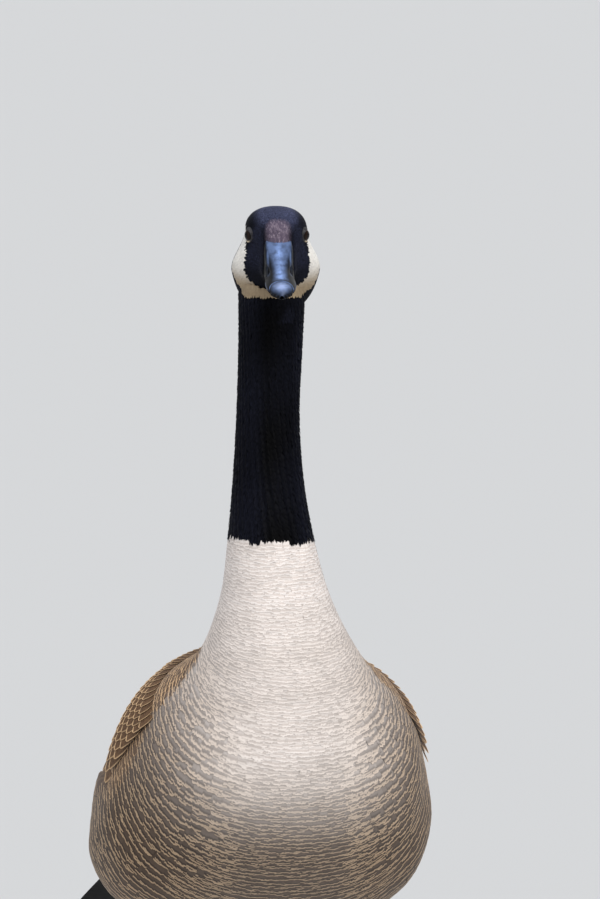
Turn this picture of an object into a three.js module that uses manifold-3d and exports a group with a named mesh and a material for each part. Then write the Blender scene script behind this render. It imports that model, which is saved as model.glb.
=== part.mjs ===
// A Canada goose, life size, standing alert with its neck straight up and its face turned to the viewer.
// Millimetres, +Z up. The goose faces -Y, its right side is -X, and its feet stand on z = 0.
import * as THREE from "three";
import { mergeVertices } from "three/addons/utils/BufferGeometryUtils.js";
import Module from "manifold-3d";

const wasm = await Module();
wasm.setup();

// Driving sizes
const GAP = 0.3;
const STAND = 30;
const TORSO_SECTIONS = 23;
const NECK_SECTIONS = 11;
const NECK_START = 9.0;
const NECK_END = 12;
const POCKET_DEPTH = 8;
const FLANK_BULGE = 4;
const WALL = 2;
const EYE_HEIGHT = 634;
const EYE_BACK = -152;
const EYE_SIDE = -9;
const EYE_RADIUS = 6.2;
const EYE_SPACING = 34.4;
const HEAD_NOD = 11;
const HEAD_TURN = -7;
const TAIL_LENGTH = 168;
const TAIL_DROP = 32;
const TAIL_SPREAD = 21;
const STANCE = 50;
const HOCK_HEIGHT = 90;
const TOE_LENGTH = 80;
const WEB_THICKNESS = 2;
const ANKLE_CUT = 17;

// Sections of the body from the tail root (0) to the top of the neck (13). y and z place the widest line,
// with z counted from a level STAND above the floor. lean turns the section's upward direction back from
// straight up, belly, back and side are its reaches, and shift moves it sideways.
const BODY = [
  { y: 201, z: 166, lean: 26, belly: 22, back: 22, side: 38, shift: 0 },
  { y: 143, z: 153.5, lean: 24, belly: 52, back: 63, side: 85, shift: 0 },
  { y: 76, z: 166.4, lean: 24, belly: 76, back: 89, side: 110, shift: 0 },
  { y: 12.4, z: 184, lean: 24, belly: 94, back: 106, side: 121, shift: 0 },
  { y: -51.3, z: 208.4, lean: 24, belly: 103, back: 110, side: 121, shift: 0 },
  { y: -91, z: 234.7, lean: 33, belly: 103, back: 104, side: 113, shift: 0 },
  { y: -125.6, z: 269.3, lean: 47, belly: 86, back: 88, side: 96, shift: 0 },
  { y: -136.8, z: 313.1, lean: 63, belly: 62, back: 62, side: 64, shift: -2 },
  { y: -136.2, z: 362.4, lean: 77, belly: 46, back: 44, side: 42, shift: -6.5 },
  { y: -134.6, z: 405.2, lean: 85, belly: 37, back: 35, side: 32.3, shift: -10.2 },
  { y: -131.5, z: 450, lean: 90, belly: 31, back: 28, side: 26, shift: -12 },
  { y: -130, z: 500, lean: 90, belly: 27, back: 26, side: 22.8, shift: -12 },
  { y: -130, z: 555, lean: 90, belly: 26.5, back: 26, side: 23.2, shift: -10 },
  { y: -131, z: 605, lean: 90, belly: 27, back: 27, side: 24.5, shift: -9 },
];
// Sections of the folded wings' outer surface. The first three run back over the tail, and the rest lie on
// the body.
const WING_REAR = [
  { y: 300, z: 109, lean: 30, belly: 8, back: 11, side: 27, shift: 0 },
  { y: 245, z: 142, lean: 28, belly: 18, back: 27, side: 48, shift: 0 },
  { y: 190, z: 156, lean: 26, belly: 32, back: 52, side: 68, shift: 0 },
];
const WING_TO_BODY = 2;
const WING = [
  ...WING_REAR,
  { ...BODY[1], back: 71, side: 87 },
  { ...BODY[2], back: 92, side: 103 },
  { ...BODY[3], side: 113 },
  { ...BODY[4], side: 117 },
  { ...BODY[5], side: 113 },
  ...BODY.slice(6, 9),
];
// The wing's outline on that surface: section number along, degrees round from the belly.
const WING_FRONT = 7.8;
const WING_REAR_END = 3.1;
const WING_LOW = 86;
const WING_LOW_FRONT = 99;
const WING_HIGH = 163;
// Rows of wing feathers. Roots run from low to high degrees, counted up from the wing's lower edge, at
// section from (low end) to section to (high end). first and last are the lengths of the lowest and the
// highest feather, rise is how far the tips stand off the plate, and stack how much more each next one does.
const WING_ROWS = [
  {
    name: "primaries", count: 5, low: 5, high: 31, from: 4.3, to: 3.9,
    first: 238, last: 184, width: 21, rise: 2, stack: 1.5,
  },
  {
    name: "secondaries", count: 6, low: 6, high: 50, from: 5.4, to: 4.9,
    first: 118, last: 172, width: 29, rise: 3.4, stack: 0.5,
  },
  {
    name: "greater coverts", count: 5, low: 5, high: 50, from: 6.3, to: 6.0,
    first: 68, last: 84, width: 31, rise: 4.2, stack: 0,
  },
  {
    name: "median coverts", count: 5, low: 4, high: 49, from: 7.0, to: 6.7,
    first: 50, last: 58, width: 30, rise: 4, stack: 0,
  },
  {
    name: "lesser coverts", count: 5, low: 3, high: 47, from: 7.7, to: 7.45,
    first: 48, last: 52, width: 29, rise: 3.4, stack: 0,
  },
  {
    name: "rear scapulars", count: 3, low: 63, high: 77, from: 5.3, to: 5.1,
    first: 96, last: 106, width: 28, rise: 4.6, stack: 0,
  },
  {
    name: "middle scapulars", count: 3, low: 58, high: 71, from: 6.2, to: 6.0,
    first: 74, last: 80, width: 27, rise: 4.4, stack: 0,
  },
  {
    name: "front scapulars", count: 2, low: 55, high: 64, from: 7.1, to: 6.9,
    first: 60, last: 62, width: 26, rise: 4, stack: 0,
  },
];
const TAIL_FEATHERS = 16;
const TAIL_COVERTS = 7;
const VANE_THICK = 0.9;
const VANE_TIP = 0.5;
// Sections of the head, p forward of the eyes: top, middle and bottom height, crown and cheek half widths.
const HEAD = [
  { p: -43, top: -3, mid: -17, bottom: -36, crown: 13, cheek: 14 },
  { p: -38, top: 7, mid: -10, bottom: -52, crown: 18.5, cheek: 23 },
  { p: -28, top: 14.8, mid: -3, bottom: -62, crown: 21.8, cheek: 31 },
  { p: -15, top: 17.6, mid: 0, bottom: -62, crown: 22.6, cheek: 34.5 },
  { p: -3, top: 17, mid: 0, bottom: -52, crown: 22, cheek: 31.5 },
  { p: 8, top: 13.4, mid: -1, bottom: -41, crown: 17.8, cheek: 23 },
  { p: 17, top: 7, mid: -8, bottom: -34.5, crown: 14, cheek: 15.5 },
  { p: 24, top: 0, mid: -15, bottom: -31.5, crown: 11.8, cheek: 12.6 },
];
// Sections of the upper bill, and the lower one's, in the same frame: half widths at the edge and on top.
const BILL_UPPER = [
  { p: 24.3, top: -1, bottom: -23, edge: 10.7, ridge: 10.4 },
  { p: 33, top: -6.8, bottom: -22.8, edge: 10.7, ridge: 8.6 },
  { p: 43, top: -12.2, bottom: -22.6, edge: 10.9, ridge: 6.6 },
  { p: 53, top: -16.4, bottom: -23, edge: 11.1, ridge: 6.2 },
  { p: 62, top: -18.8, bottom: -24, edge: 10.9, ridge: 7 },
  { p: 69, top: -20.4, bottom: -25.4, edge: 9.6, ridge: 7 },
  { p: 74.5, top: -22.6, bottom: -27.4, edge: 6.8, ridge: 5 },
  { p: 78, top: -25.8, bottom: -29, edge: 3, ridge: 2 },
];
const BILL_LOWER = [
  { p: 24.3, top: -23.4, bottom: -30.6, edge: 10.6, ridge: 6.5 },
  { p: 38, top: -23.1, bottom: -30, edge: 10.2, ridge: 6.5 },
  { p: 52, top: -23.4, bottom: -29.4, edge: 10.2, ridge: 6.5 },
  { p: 64, top: -24.8, bottom: -29.6, edge: 8.8, ridge: 5.5 },
  { p: 72, top: -27.3, bottom: -30.4, edge: 5, ridge: 3 },
];
// The nostrils are one slot right through the upper bill, deep times as wide as it is high.
const NOSTRIL = { p: 41.5, q: -16.6, length: 9.5, height: 2.6, slope: 24, deep: 11 };

// Materials
const surface = (color, roughness) => new THREE.MeshStandardMaterial({ color, roughness, metalness: 0 });
const LOOKS = {
  black: surface(0x14141a, 0.8),
  breast: surface(0xb5aaa0, 0.9),
  wing: surface(0x5d4f43, 0.85),
  tail: surface(0x17151a, 0.7),
  bill: surface(0x20242e, 0.35),
  eye: surface(0x160c08, 0.05),
  leg: surface(0x24221f, 0.5),
};

// A repeatable random number from 0 to 1.
const RANDOM_FACTOR = 16807;
const RANDOM_RANGE = 2 ** 31 - 1;
let seed = 7;
function random() {
  seed = (seed * RANDOM_FACTOR) % RANDOM_RANGE;
  return seed / RANDOM_RANGE;
}
const radians = THREE.MathUtils.degToRad;
const smooth = THREE.MathUtils.smoothstep;
const mix = THREE.MathUtils.lerp;

// A value of a row of sections at place t, on a smooth curve through its neighbours.
function between(rows, key, t) {
  const last = rows.length - 1;
  const i = Math.min(Math.max(Math.floor(t), 0), last - 1);
  const f = t - i;
  const [a, b, c, d] = [i - 1, i, i + 1, i + 2].map((n) => rows[Math.min(Math.max(n, 0), last)][key]);
  return b + 0.5 * f * (c - a + f * (2 * a - 5 * b + 4 * c - d + f * (3 * (b - c) + d - a)));
}

// A power that keeps its sign, which makes a section fuller than an ellipse.
const full = (value, power) => Math.sign(value) * Math.abs(value) ** power;

const FULL_SIDE = 0.88;
const FULL_RISE = 0.92;
// A point of a row of body sections. phi runs in degrees from the belly (0) past the left side (90) to the
// back.
function sectionPoint(rows, t, phi, grow = 0) {
  const value = (key) => between(rows, key, t);
  const [lean, turn] = [radians(value("lean")), radians(phi)];
  const across = (value("side") + grow) * full(Math.sin(turn), FULL_SIDE);
  const up = -full(Math.cos(turn), FULL_RISE);
  const rise = up * ((up < 0 ? value("belly") : value("back")) + grow);
  return new THREE.Vector3(
    value("shift") + across,
    value("y") + rise * Math.sin(lean),
    STAND + value("z") + rise * Math.cos(lean),
  );
}

// The lower edge of the folded wing, and how far a place of the body lies under the wing, from 0 to 1.
function wingLow(t) {
  const forward = Math.max(t - WING_TO_BODY - 1, 0) / (WING_FRONT - WING_TO_BODY - 1);
  const front = mix(WING_LOW, WING_LOW_FRONT, Math.min(forward, 1));
  return mix(front, 90, smooth(t, WING_FRONT, WING_FRONT + 2.5));
}
function underWing(t, phi) {
  const edge = wingLow(t + WING_TO_BODY);
  const low = smooth(phi, edge - WALL, edge + WALL);
  const high = 1 - smooth(phi, WING_HIGH - 14, WING_HIGH + 6);
  const front = 1 - smooth(t, WING_FRONT - WING_TO_BODY - 0.35, WING_FRONT - WING_TO_BODY + 0.15);
  return low * high * front * smooth(t, 0.2, 1);
}
// How far the flank swells below the wing.
function flank(t, phi) {
  const round = smooth(phi, 40, 62) * (1 - smooth(phi, 80, 98));
  return FLANK_BULGE * round * smooth(t, 0.8, 2) * (1 - smooth(t, 4, 5.2));
}
function bodyPoint(t, phi, grow = 0) {
  const round = phi > 180 ? 360 - phi : phi;
  const own = sectionPoint(BODY, t, phi, grow + flank(t, round));
  const under = underWing(t, round);
  return under ? own.lerp(sectionPoint(WING, t + WING_TO_BODY, phi, grow - POCKET_DEPTH), under) : own;
}
const wingPoint = (t, phi, grow = 0) => sectionPoint(WING, t, phi, grow);

// A closed geometry from its corner points and its triangles, turned to face out.
function closed(points, triangles) {
  const geometry = new THREE.BufferGeometry().setFromPoints(points);
  geometry.setIndex(triangles);
  return geometry;
}

// A loft through rings of equal counts, closed at both ends by a fan.
function loft(rings) {
  const n = rings[0].length;
  const points = rings.flat();
  const triangles = [];
  for (let j = 0; j + 1 < rings.length; j++) {
    for (let i = 0; i < n; i++) {
      const [a, b] = [j * n + i, j * n + ((i + 1) % n)];
      triangles.push(a, b, b + n, a, b + n, a + n);
    }
  }
  for (const [ring, first] of [[rings[0], 0], [rings.at(-1), (rings.length - 1) * n]]) {
    const middle = ring.reduce((sum, p) => sum.add(p), new THREE.Vector3()).divideScalar(n);
    const centre = points.push(middle) - 1;
    for (let i = 0; i < n; i++) {
      const [a, b] = [first + i, first + ((i + 1) % n)];
      triangles.push(...(first ? [a, b, centre] : [b, a, centre]));
    }
  }
  return closed(points, triangles);
}

// A thin solid between two grids of points alike, split into triangles alike on both.
function sheet(top, bottom) {
  const [rows, columns] = [top.length, top[0].length];
  const points = [...top.flat(), ...bottom.flat()];
  const under = rows * columns;
  const triangles = [];
  for (let j = 0; j + 1 < rows; j++) {
    for (let i = 0; i + 1 < columns; i++) {
      const a = j * columns + i;
      const [b, c, d] = [a + 1, a + columns + 1, a + columns];
      triangles.push(a, b, c, a, c, d);
      triangles.push(under + c, under + b, under + a, under + d, under + c, under + a);
    }
  }
  const rim = [];
  for (let i = 0; i < columns - 1; i++) rim.push(i);
  for (let j = 0; j < rows - 1; j++) rim.push(j * columns + columns - 1);
  for (let i = columns - 1; i > 0; i--) rim.push((rows - 1) * columns + i);
  for (let j = rows - 1; j > 0; j--) rim.push(j * columns);
  rim.forEach((a, i) => {
    const b = rim[(i + 1) % rim.length];
    triangles.push(a, under + a, under + b, a, under + b, b);
  });
  return closed(points, triangles);
}

// Solids: a closed geometry as a solid facing out, joins, cuts, and a solid as a named mesh.
function solid(geometry) {
  const bare = geometry.clone();
  bare.deleteAttribute("normal");
  bare.deleteAttribute("uv");
  const merged = mergeVertices(bare, 1e-4);
  const vertProperties = new Float32Array(merged.attributes.position.array);
  const triVerts = new Uint32Array(merged.index.array);
  const build = () => new wasm.Manifold(new wasm.Mesh({ numProp: 3, vertProperties, triVerts }));
  const made = build();
  if (made.volume() > 0) return made;
  for (let i = 0; i < triVerts.length; i += 3) {
    [triVerts[i + 1], triVerts[i + 2]] = [triVerts[i + 2], triVerts[i + 1]];
  }
  return build();
}
const moved = (made, frame) => made.transform(frame.elements);
const join = (solids) => solids.reduce((sum, next) => sum.add(next));
const largest = (made) => made.decompose().reduce((a, b) => (a.volume() > b.volume() ? a : b));

const goose = new THREE.Group();
function place(name, made, material) {
  const { vertProperties, triVerts } = largest(made).getMesh();
  const geometry = new THREE.BufferGeometry();
  geometry.setAttribute("position", new THREE.BufferAttribute(new Float32Array(vertProperties), 3));
  geometry.setIndex(new THREE.BufferAttribute(new Uint32Array(triVerts), 1));
  geometry.computeVertexNormals();
  const mesh = new THREE.Mesh(geometry, material);
  mesh.name = name;
  goose.add(mesh);
}
const steps = (from, to, count) => Array.from({ length: count + 1 }, (_, i) => mix(from, to, i / count));
const SIDES = [["left", 1], ["right", -1]];

// Torso and neck
const BELOW_WING = [0, 0.14, 0.28, 0.42, 0.55, 0.67, 0.78, 0.88, 0.95];
const ABOVE_WING = [0.12, 0.25, 0.38, 0.51, 0.63, 0.75, 0.86, 0.94];
function bodyRound(t) {
  const edge = wingLow(t + WING_TO_BODY);
  const below = BELOW_WING.map((part) => part * (edge - WALL));
  const above = ABOVE_WING.map((part) => mix(edge + WALL, 180, part));
  const half = [...below, edge - WALL, edge + WALL, ...above];
  return [...half, 180, ...half.slice(1).reverse().map((phi) => 360 - phi)];
}
function body(from, to, count, grow = 0) {
  const rings = steps(from, to, count).map((t) => bodyRound(t).map((phi) => bodyPoint(t, phi, grow)));
  return solid(loft(rings));
}
const torso = body(0, NECK_START, TORSO_SECTIONS);
// The same shape grown by the gap, and moved back by it at the tail, for cutting what lies against the torso.
const grown = body(0, NECK_START, TORSO_SECTIONS, GAP);
const torsoCutter = grown.add(grown.translate([0, GAP, 0]));
const NECK_ROUND = steps(0, 345, 23);
function neckPiece(from, to, count) {
  return solid(loft(steps(from, to, count).map((t) => NECK_ROUND.map((phi) => sectionPoint(BODY, t, phi)))));
}
// The gap between two cuts of the neck, as a share of the distance from one of its sections to the next.
const SECTION_GAP = GAP / 44;

// Head, in its own frame: x to the goose's left, -y forward, z up, from midway between the eyes
const headFrame = new THREE.Matrix4()
  .makeTranslation(EYE_SIDE, EYE_BACK, STAND + EYE_HEIGHT)
  .multiply(new THREE.Matrix4().makeRotationZ(radians(HEAD_TURN)))
  .multiply(new THREE.Matrix4().makeRotationX(radians(HEAD_NOD)));
// Powers that make the crown's round fuller than an ellipse, and the shape of the cheek.
const CROWN_RISE = 0.86;
const CROWN_SIDE = 0.88;
const CHEEK_DROP = 0.9;
const CHEEK_ROUND = 2.6;
function headPoint(t, phi) {
  const value = (key) => between(HEAD, key, t);
  const turn = radians(phi);
  if (phi > 90 && phi < 270) {
    const rise = mix(value("mid"), value("top"), full(-Math.cos(turn), CROWN_RISE));
    return new THREE.Vector3(value("crown") * full(Math.sin(turn), CROWN_SIDE), -value("p"), rise);
  }
  const down = Math.abs(Math.cos(turn)) ** CHEEK_DROP;
  const wide = mix(value("crown"), value("cheek"), smooth(down, 0, 0.5));
  const across = wide * Math.sign(Math.sin(turn)) * Math.max(1 - down ** CHEEK_ROUND, 0) ** (1 / CHEEK_ROUND);
  return new THREE.Vector3(across, -value("p"), mix(value("mid"), value("bottom"), down));
}
const LID = { radius: 5.3, thick: 1.3, out: 4.1, forward: 0.4, turn: 12 };
function lid(way) {
  const ring = new THREE.TorusGeometry(LID.radius, LID.thick, 5, 12).rotateY(radians(90 - way * LID.turn));
  ring.translate(way * (EYE_SPACING / 2 + LID.out), -LID.forward, 0);
  return solid(ring.applyMatrix4(headFrame));
}
function ball(way, radius) {
  const round = new THREE.SphereGeometry(radius, 12, 8).translate((way * EYE_SPACING) / 2, 0, 0);
  return solid(round.applyMatrix4(headFrame));
}
function head() {
  const rings = steps(0, HEAD.length - 1, 14).map((t) => steps(0, 345, 23).map((phi) => headPoint(t, phi)));
  const skull = solid(loft(rings).applyMatrix4(headFrame));
  const throat = neckPiece(NECK_END + SECTION_GAP, 13, 3);
  const lids = SIDES.map(([, way]) => lid(way));
  const sockets = SIDES.map(([, way]) => ball(way, EYE_RADIUS + GAP));
  return join([skull, throat, ...lids]).subtract(join(sockets));
}

// Bill: a row of sections with a flat mouth side and a rounded ridge, as shares of the width and the height
const BILL_HALF = [[1, 0], [1, 0.3], [1, 0.65], [0.94, 0.88], [0.62, 0.98]];
const BILL_ROUND = [...BILL_HALF, [0, 1], ...BILL_HALF.map(([x, h]) => [-x, h]).reverse()];
function billPoints(rows, t, down) {
  const value = (key) => between(rows, key, t);
  const [low, high] = down ? [value("top"), value("bottom")] : [value("bottom"), value("top")];
  return BILL_ROUND.map(([x, h]) => {
    const width = mix(value("edge"), value("ridge"), h);
    return new THREE.Vector3(x * width, -value("p"), mix(low, high, h));
  });
}
function bill(rows, down) {
  const rings = steps(0, rows.length - 1, 10).map((t) => billPoints(rows, t, down));
  return solid(loft(rings).applyMatrix4(headFrame));
}
function upperBill() {
  const hole = new THREE.CapsuleGeometry(NOSTRIL.height / 2, NOSTRIL.length - NOSTRIL.height, 3, 8);
  hole.rotateX(radians(90 + NOSTRIL.slope)).scale(NOSTRIL.deep, 1, 1).translate(0, -NOSTRIL.p, NOSTRIL.q);
  return bill(BILL_UPPER, false).subtract(solid(hole.applyMatrix4(headFrame)));
}

// A feather's vane: at(f, s, lift) is the place at the share f along it, s across (-1 to 1) and lift mm out.
const VANE_OUTLINE = [
  { f: 0, half: 0.6 },
  { f: 0.4, half: 1 },
  { f: 0.82, half: 0.88 },
  { f: 1, half: 0.34 },
];
const TIP_ROUND = 0.04;
function vane(at) {
  const face = (way) =>
    VANE_OUTLINE.map(({ f, half }) => {
      const lift = (way * mix(VANE_THICK, VANE_TIP, f)) / 2;
      return [-half, 0, half].map((s) => at(f - TIP_ROUND * f * Math.abs(s), s, lift));
    });
  return solid(sheet(face(1), face(-1)));
}

// Wings: a curved plate over the shoulder and flank, and rows of vanes rooted in it like shingles
const SECTION_LENGTH = 66;
const DIP = 1;
const BED_CLEARANCE = 0.8;
const ROLL = 1.4;
const LENGTH_VARIES = 0.06;
function wingPlate() {
  const along = steps(WING_FRONT, WING_REAR_END, 13);
  const across = (t) => steps(wingLow(t) + 1, WING_HIGH, 6);
  const top = along.map((t) => across(t).map((phi) => wingPoint(t, phi)));
  const bottom = along.map((t) => across(t).map((phi) => wingPoint(t, phi, BED_CLEARANCE - POCKET_DEPTH)));
  return solid(sheet(top, bottom));
}
function wingVane(row, i) {
  const share = i / (row.count - 1);
  const root = mix(row.from, row.to, share);
  const length = mix(row.first, row.last, share) * (1 - LENGTH_VARIES * random());
  const middle = wingLow(root) + mix(row.low, row.high, share);
  return vane((f, s, lift) => {
    const t = Math.max(root - (f * length) / SECTION_LENGTH, 0);
    const degree = (radians(1) * (between(WING, "side", t) + between(WING, "back", t))) / 2;
    const phi = middle + (s * row.width) / 2 / degree;
    return wingPoint(t, phi, mix(-DIP, row.rise + i * row.stack, f) - ROLL * s + lift);
  });
}
function wing(way) {
  const vanesOf = (row) => steps(0, row.count - 1, row.count - 1).map((i) => wingVane(row, i));
  const vanes = WING_ROWS.flatMap(vanesOf);
  const whole = moved(join([wingPlate(), ...vanes]), new THREE.Matrix4().makeScale(way, 1, 1));
  return whole.subtract(torsoCutter).subtract(tail(GAP));
}

// Tail: a flattened wedge behind the torso, a fan of long vanes and short coverts over their roots
const TAIL_CORE = 78;
const TAIL_CORE_EDGE = 2.5;
const TAIL_ROOT = 20;
const TAIL_DROOP = 0.0006;
const tailFrame = new THREE.Matrix4()
  .makeTranslation(0, BODY[0].y, STAND + BODY[0].z)
  .multiply(new THREE.Matrix4().makeRotationX(radians(-TAIL_DROP)));
function tailWedge(grow) {
  const rings = steps(0, 1, 5).map((f) => {
    const widening = TAIL_CORE * Math.tan(radians(TAIL_SPREAD)) * f;
    const thinning = f ** 0.7;
    const up = mix(BODY[0].back, TAIL_CORE_EDGE, thinning);
    const down = mix(BODY[0].belly, TAIL_CORE_EDGE, thinning);
    return steps(0, 340, 17).map((phi) => {
      const turn = radians(phi);
      const rise = -full(Math.cos(turn), FULL_RISE);
      const across = (BODY[0].side + widening + grow) * full(Math.sin(turn), FULL_SIDE);
      return new THREE.Vector3(across, f * (TAIL_CORE + grow), rise * ((rise > 0 ? up : down) + grow));
    });
  });
  return solid(loft(rings));
}
// side runs from -1 at the right edge of the fan to 1 at the left, and the middle vanes lie on top.
function tailVane(side, { start, length, width, height }, grow) {
  const turn = radians(side * (TAIL_SPREAD + 2));
  const reach = length * (1 - 0.1 * side * side) + grow;
  const outer = Math.sign(side) || 1;
  return vane((f, s, lift) => {
    const along = start + f * reach;
    const across = s * (width / 2 + grow);
    const rise = mix(0, height * (1 - Math.abs(side)), f) - ROLL * s * outer;
    const over = lift + Math.sign(lift) * grow;
    return new THREE.Vector3(
      side * (BODY[0].side - 5) + Math.sin(turn) * f * reach + Math.cos(turn) * across,
      along - Math.sin(turn) * across,
      rise + over - TAIL_DROOP * (along * side) ** 2,
    );
  });
}
function tail(grow = 0) {
  const long = steps(-1, 1, TAIL_FEATHERS - 1);
  const short = steps(-0.8, 0.8, TAIL_COVERTS - 1);
  const rectrix = { start: TAIL_ROOT, length: TAIL_LENGTH - TAIL_ROOT, width: 23, height: 7 };
  const covert = { start: TAIL_ROOT - 6, length: 66, width: 26, height: 11 };
  const rectrices = long.map((side) => tailVane(side, rectrix, grow));
  const coverts = short.map((side) => tailVane(side, covert, grow));
  const made = join([tailWedge(grow), ...rectrices, ...coverts]);
  return moved(made, tailFrame).subtract(torsoCutter);
}

// Legs: feathered thigh, bare shank with its hock, and a webbed foot. Each ring of a thigh or shank has its
// height, how far back it lies, and its half widths across and along the goose.
const HOCK_BACK = 24;
const FOOT_BACK = 2;
const FOOT_TURN = 9;
const THIGH = [
  { z: HOCK_HEIGHT + 6, y: HOCK_BACK - 2, wide: 7, deep: 9 },
  { z: HOCK_HEIGHT + 12, y: HOCK_BACK - 6, wide: 13, deep: 18 },
  { z: HOCK_HEIGHT + 24, y: HOCK_BACK - 14, wide: 21, deep: 30 },
  { z: HOCK_HEIGHT + 60, y: HOCK_BACK - 20, wide: 26, deep: 38 },
];
const SHANK = [
  { z: 6, y: FOOT_BACK - 1, wide: 5.5, deep: 6.5 },
  { z: 14, y: FOOT_BACK, wide: 5.2, deep: 6.2 },
  { z: 34, y: mix(FOOT_BACK, HOCK_BACK, 0.3), wide: 4.1, deep: 5.2 },
  { z: 60, y: mix(FOOT_BACK, HOCK_BACK, 0.65), wide: 4.2, deep: 5.4 },
  { z: HOCK_HEIGHT - 9, y: HOCK_BACK - 1, wide: 6, deep: 7.4 },
  { z: HOCK_HEIGHT - 2, y: HOCK_BACK, wide: 6.4, deep: 8.2 },
  { z: HOCK_HEIGHT + 6 - GAP, y: HOCK_BACK - 2, wide: 5.6, deep: 7.4 },
];
function tube(stops, x, sides) {
  const turns = steps(0, 360 - 360 / sides, sides - 1).map(radians);
  const rings = stops.map(({ y, z, wide, deep }) =>
    turns.map((turn) => new THREE.Vector3(x + wide * Math.cos(turn), y + deep * Math.sin(turn), z)),
  );
  return solid(loft(rings));
}
// A toe lies along its own direction, half round above and flat below, with two joints and a claw at its end.
// Its rings lie at a share of its length, plus more mm, and have shares of its thickness.
const TOES = [
  { turn: 27, length: 0.84, thick: 4.2 },
  { turn: 0, length: 1, thick: 4.6 },
  { turn: -25, length: 0.95, thick: 4.4 },
];
const TOE_RINGS = [
  { share: 0, more: -8, wide: 1, high: 1.7 },
  { share: 0.3, more: 0, wide: 0.86, high: 1.46 },
  { share: 0.36, more: 0, wide: 1, high: 1.6 },
  { share: 0.6, more: 0, wide: 0.72, high: 1.36 },
  { share: 0.66, more: 0, wide: 0.86, high: 1.43 },
  { share: 0.92, more: 0, wide: 0.6, high: 1.12 },
  { share: 1, more: 0, wide: 0.5, high: 1 },
  { share: 1, more: 8, wide: 0.1, high: 0.24 },
];
function toe({ turn, length, thick }) {
  const rings = TOE_RINGS.map(({ share, more, wide, high }) =>
    steps(0, Math.PI, 4).map((round) => {
      const [x, z] = [Math.cos(round) * wide * thick, Math.sin(round) * high * thick];
      return new THREE.Vector3(x, -share * length * TOE_LENGTH - more, z);
    }),
  );
  return solid(loft(rings).applyMatrix4(new THREE.Matrix4().makeRotationZ(radians(turn))));
}
const WEB_REACH = 0.96;
const WEB_HOLLOW = 0.8;
const WEB_HEEL = { x: 5, y: 6 };
function webTip({ turn, length }) {
  const reach = length * TOE_LENGTH * WEB_REACH;
  return new THREE.Vector2(reach * Math.sin(radians(turn)), -reach * Math.cos(radians(turn)));
}
function web() {
  const outline = new THREE.Shape();
  const tips = TOES.map(webTip);
  outline.moveTo(WEB_HEEL.x, WEB_HEEL.y);
  outline.lineTo(tips[0].x, tips[0].y);
  for (const [from, to] of [[tips[0], tips[1]], [tips[1], tips[2]]]) {
    const hollow = from.clone().lerp(to, 0.5).multiplyScalar(WEB_HOLLOW);
    outline.quadraticCurveTo(hollow.x, hollow.y, to.x, to.y);
  }
  outline.lineTo(-WEB_HEEL.x, WEB_HEEL.y);
  outline.closePath();
  const sheet = { depth: WEB_THICKNESS, bevelEnabled: false, curveSegments: 4 };
  return solid(new THREE.ExtrudeGeometry(outline, sheet));
}
const PAD = { radius: 7, high: 6 };
const HIND = { radius: 4.2, length: 22, high: 12, back: 13, droop: 22 };
const FLOOR_BLOCK = 400;
function foot() {
  const pad = new THREE.SphereGeometry(PAD.radius, 8, 5).translate(0, 0, PAD.high);
  const hind = new THREE.ConeGeometry(HIND.radius, HIND.length, 8).rotateX(radians(90 + HIND.droop));
  hind.translate(0, HIND.back, HIND.high);
  const floor = new THREE.BoxGeometry(FLOOR_BLOCK, FLOOR_BLOCK, FLOOR_BLOCK);
  floor.translate(0, 0, -FLOOR_BLOCK / 2);
  return join([...TOES.map(toe), web(), solid(pad), solid(hind)]).subtract(solid(floor));
}
function leg(way) {
  const frame = new THREE.Matrix4()
    .makeTranslation(way * STANCE, FOOT_BACK, 0)
    .multiply(new THREE.Matrix4().makeRotationZ(radians(way * FOOT_TURN)))
    .multiply(new THREE.Matrix4().makeScale(way, 1, 1));
  return tube(SHANK, way * STANCE, 12).add(moved(foot(), frame));
}

place("torso", torso, LOOKS.breast);
place("neck", neckPiece(NECK_START + SECTION_GAP, NECK_END, NECK_SECTIONS), LOOKS.black);
place("head", head(), LOOKS.black);
place("bill_upper", upperBill(), LOOKS.bill);
place("bill_lower", bill(BILL_LOWER, true), LOOKS.bill);
place("tail", tail(), LOOKS.tail);
for (const [side, way] of SIDES) {
  place(`eye_${side}`, ball(way, EYE_RADIUS), LOOKS.eye);
  place(`wing_${side}`, wing(way), LOOKS.wing);
  place(`thigh_${side}`, tube(THIGH, way * STANCE, 16).subtract(torsoCutter), LOOKS.breast);
  const whole = leg(way);
  place(`leg_${side}`, whole.trimByPlane([0, 0, 1], ANKLE_CUT + GAP), LOOKS.leg);
  place(`foot_${side}`, whole.trimByPlane([0, 0, -1], -ANKLE_CUT), LOOKS.leg);
}

// The origin is the middle of the whole goose's footprint, on the floor.
const bounds = new THREE.Box3().setFromObject(goose);
const middle = bounds.getCenter(new THREE.Vector3());
for (const mesh of goose.children) mesh.geometry.translate(-middle.x, -middle.y, -bounds.min.z);

export default goose;
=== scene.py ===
"""A life-size Canada goose, standing alert with its neck straight up and its face turned to the viewer."""
import math

import bpy
import numpy as np
from mathutils import Matrix, Vector


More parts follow.
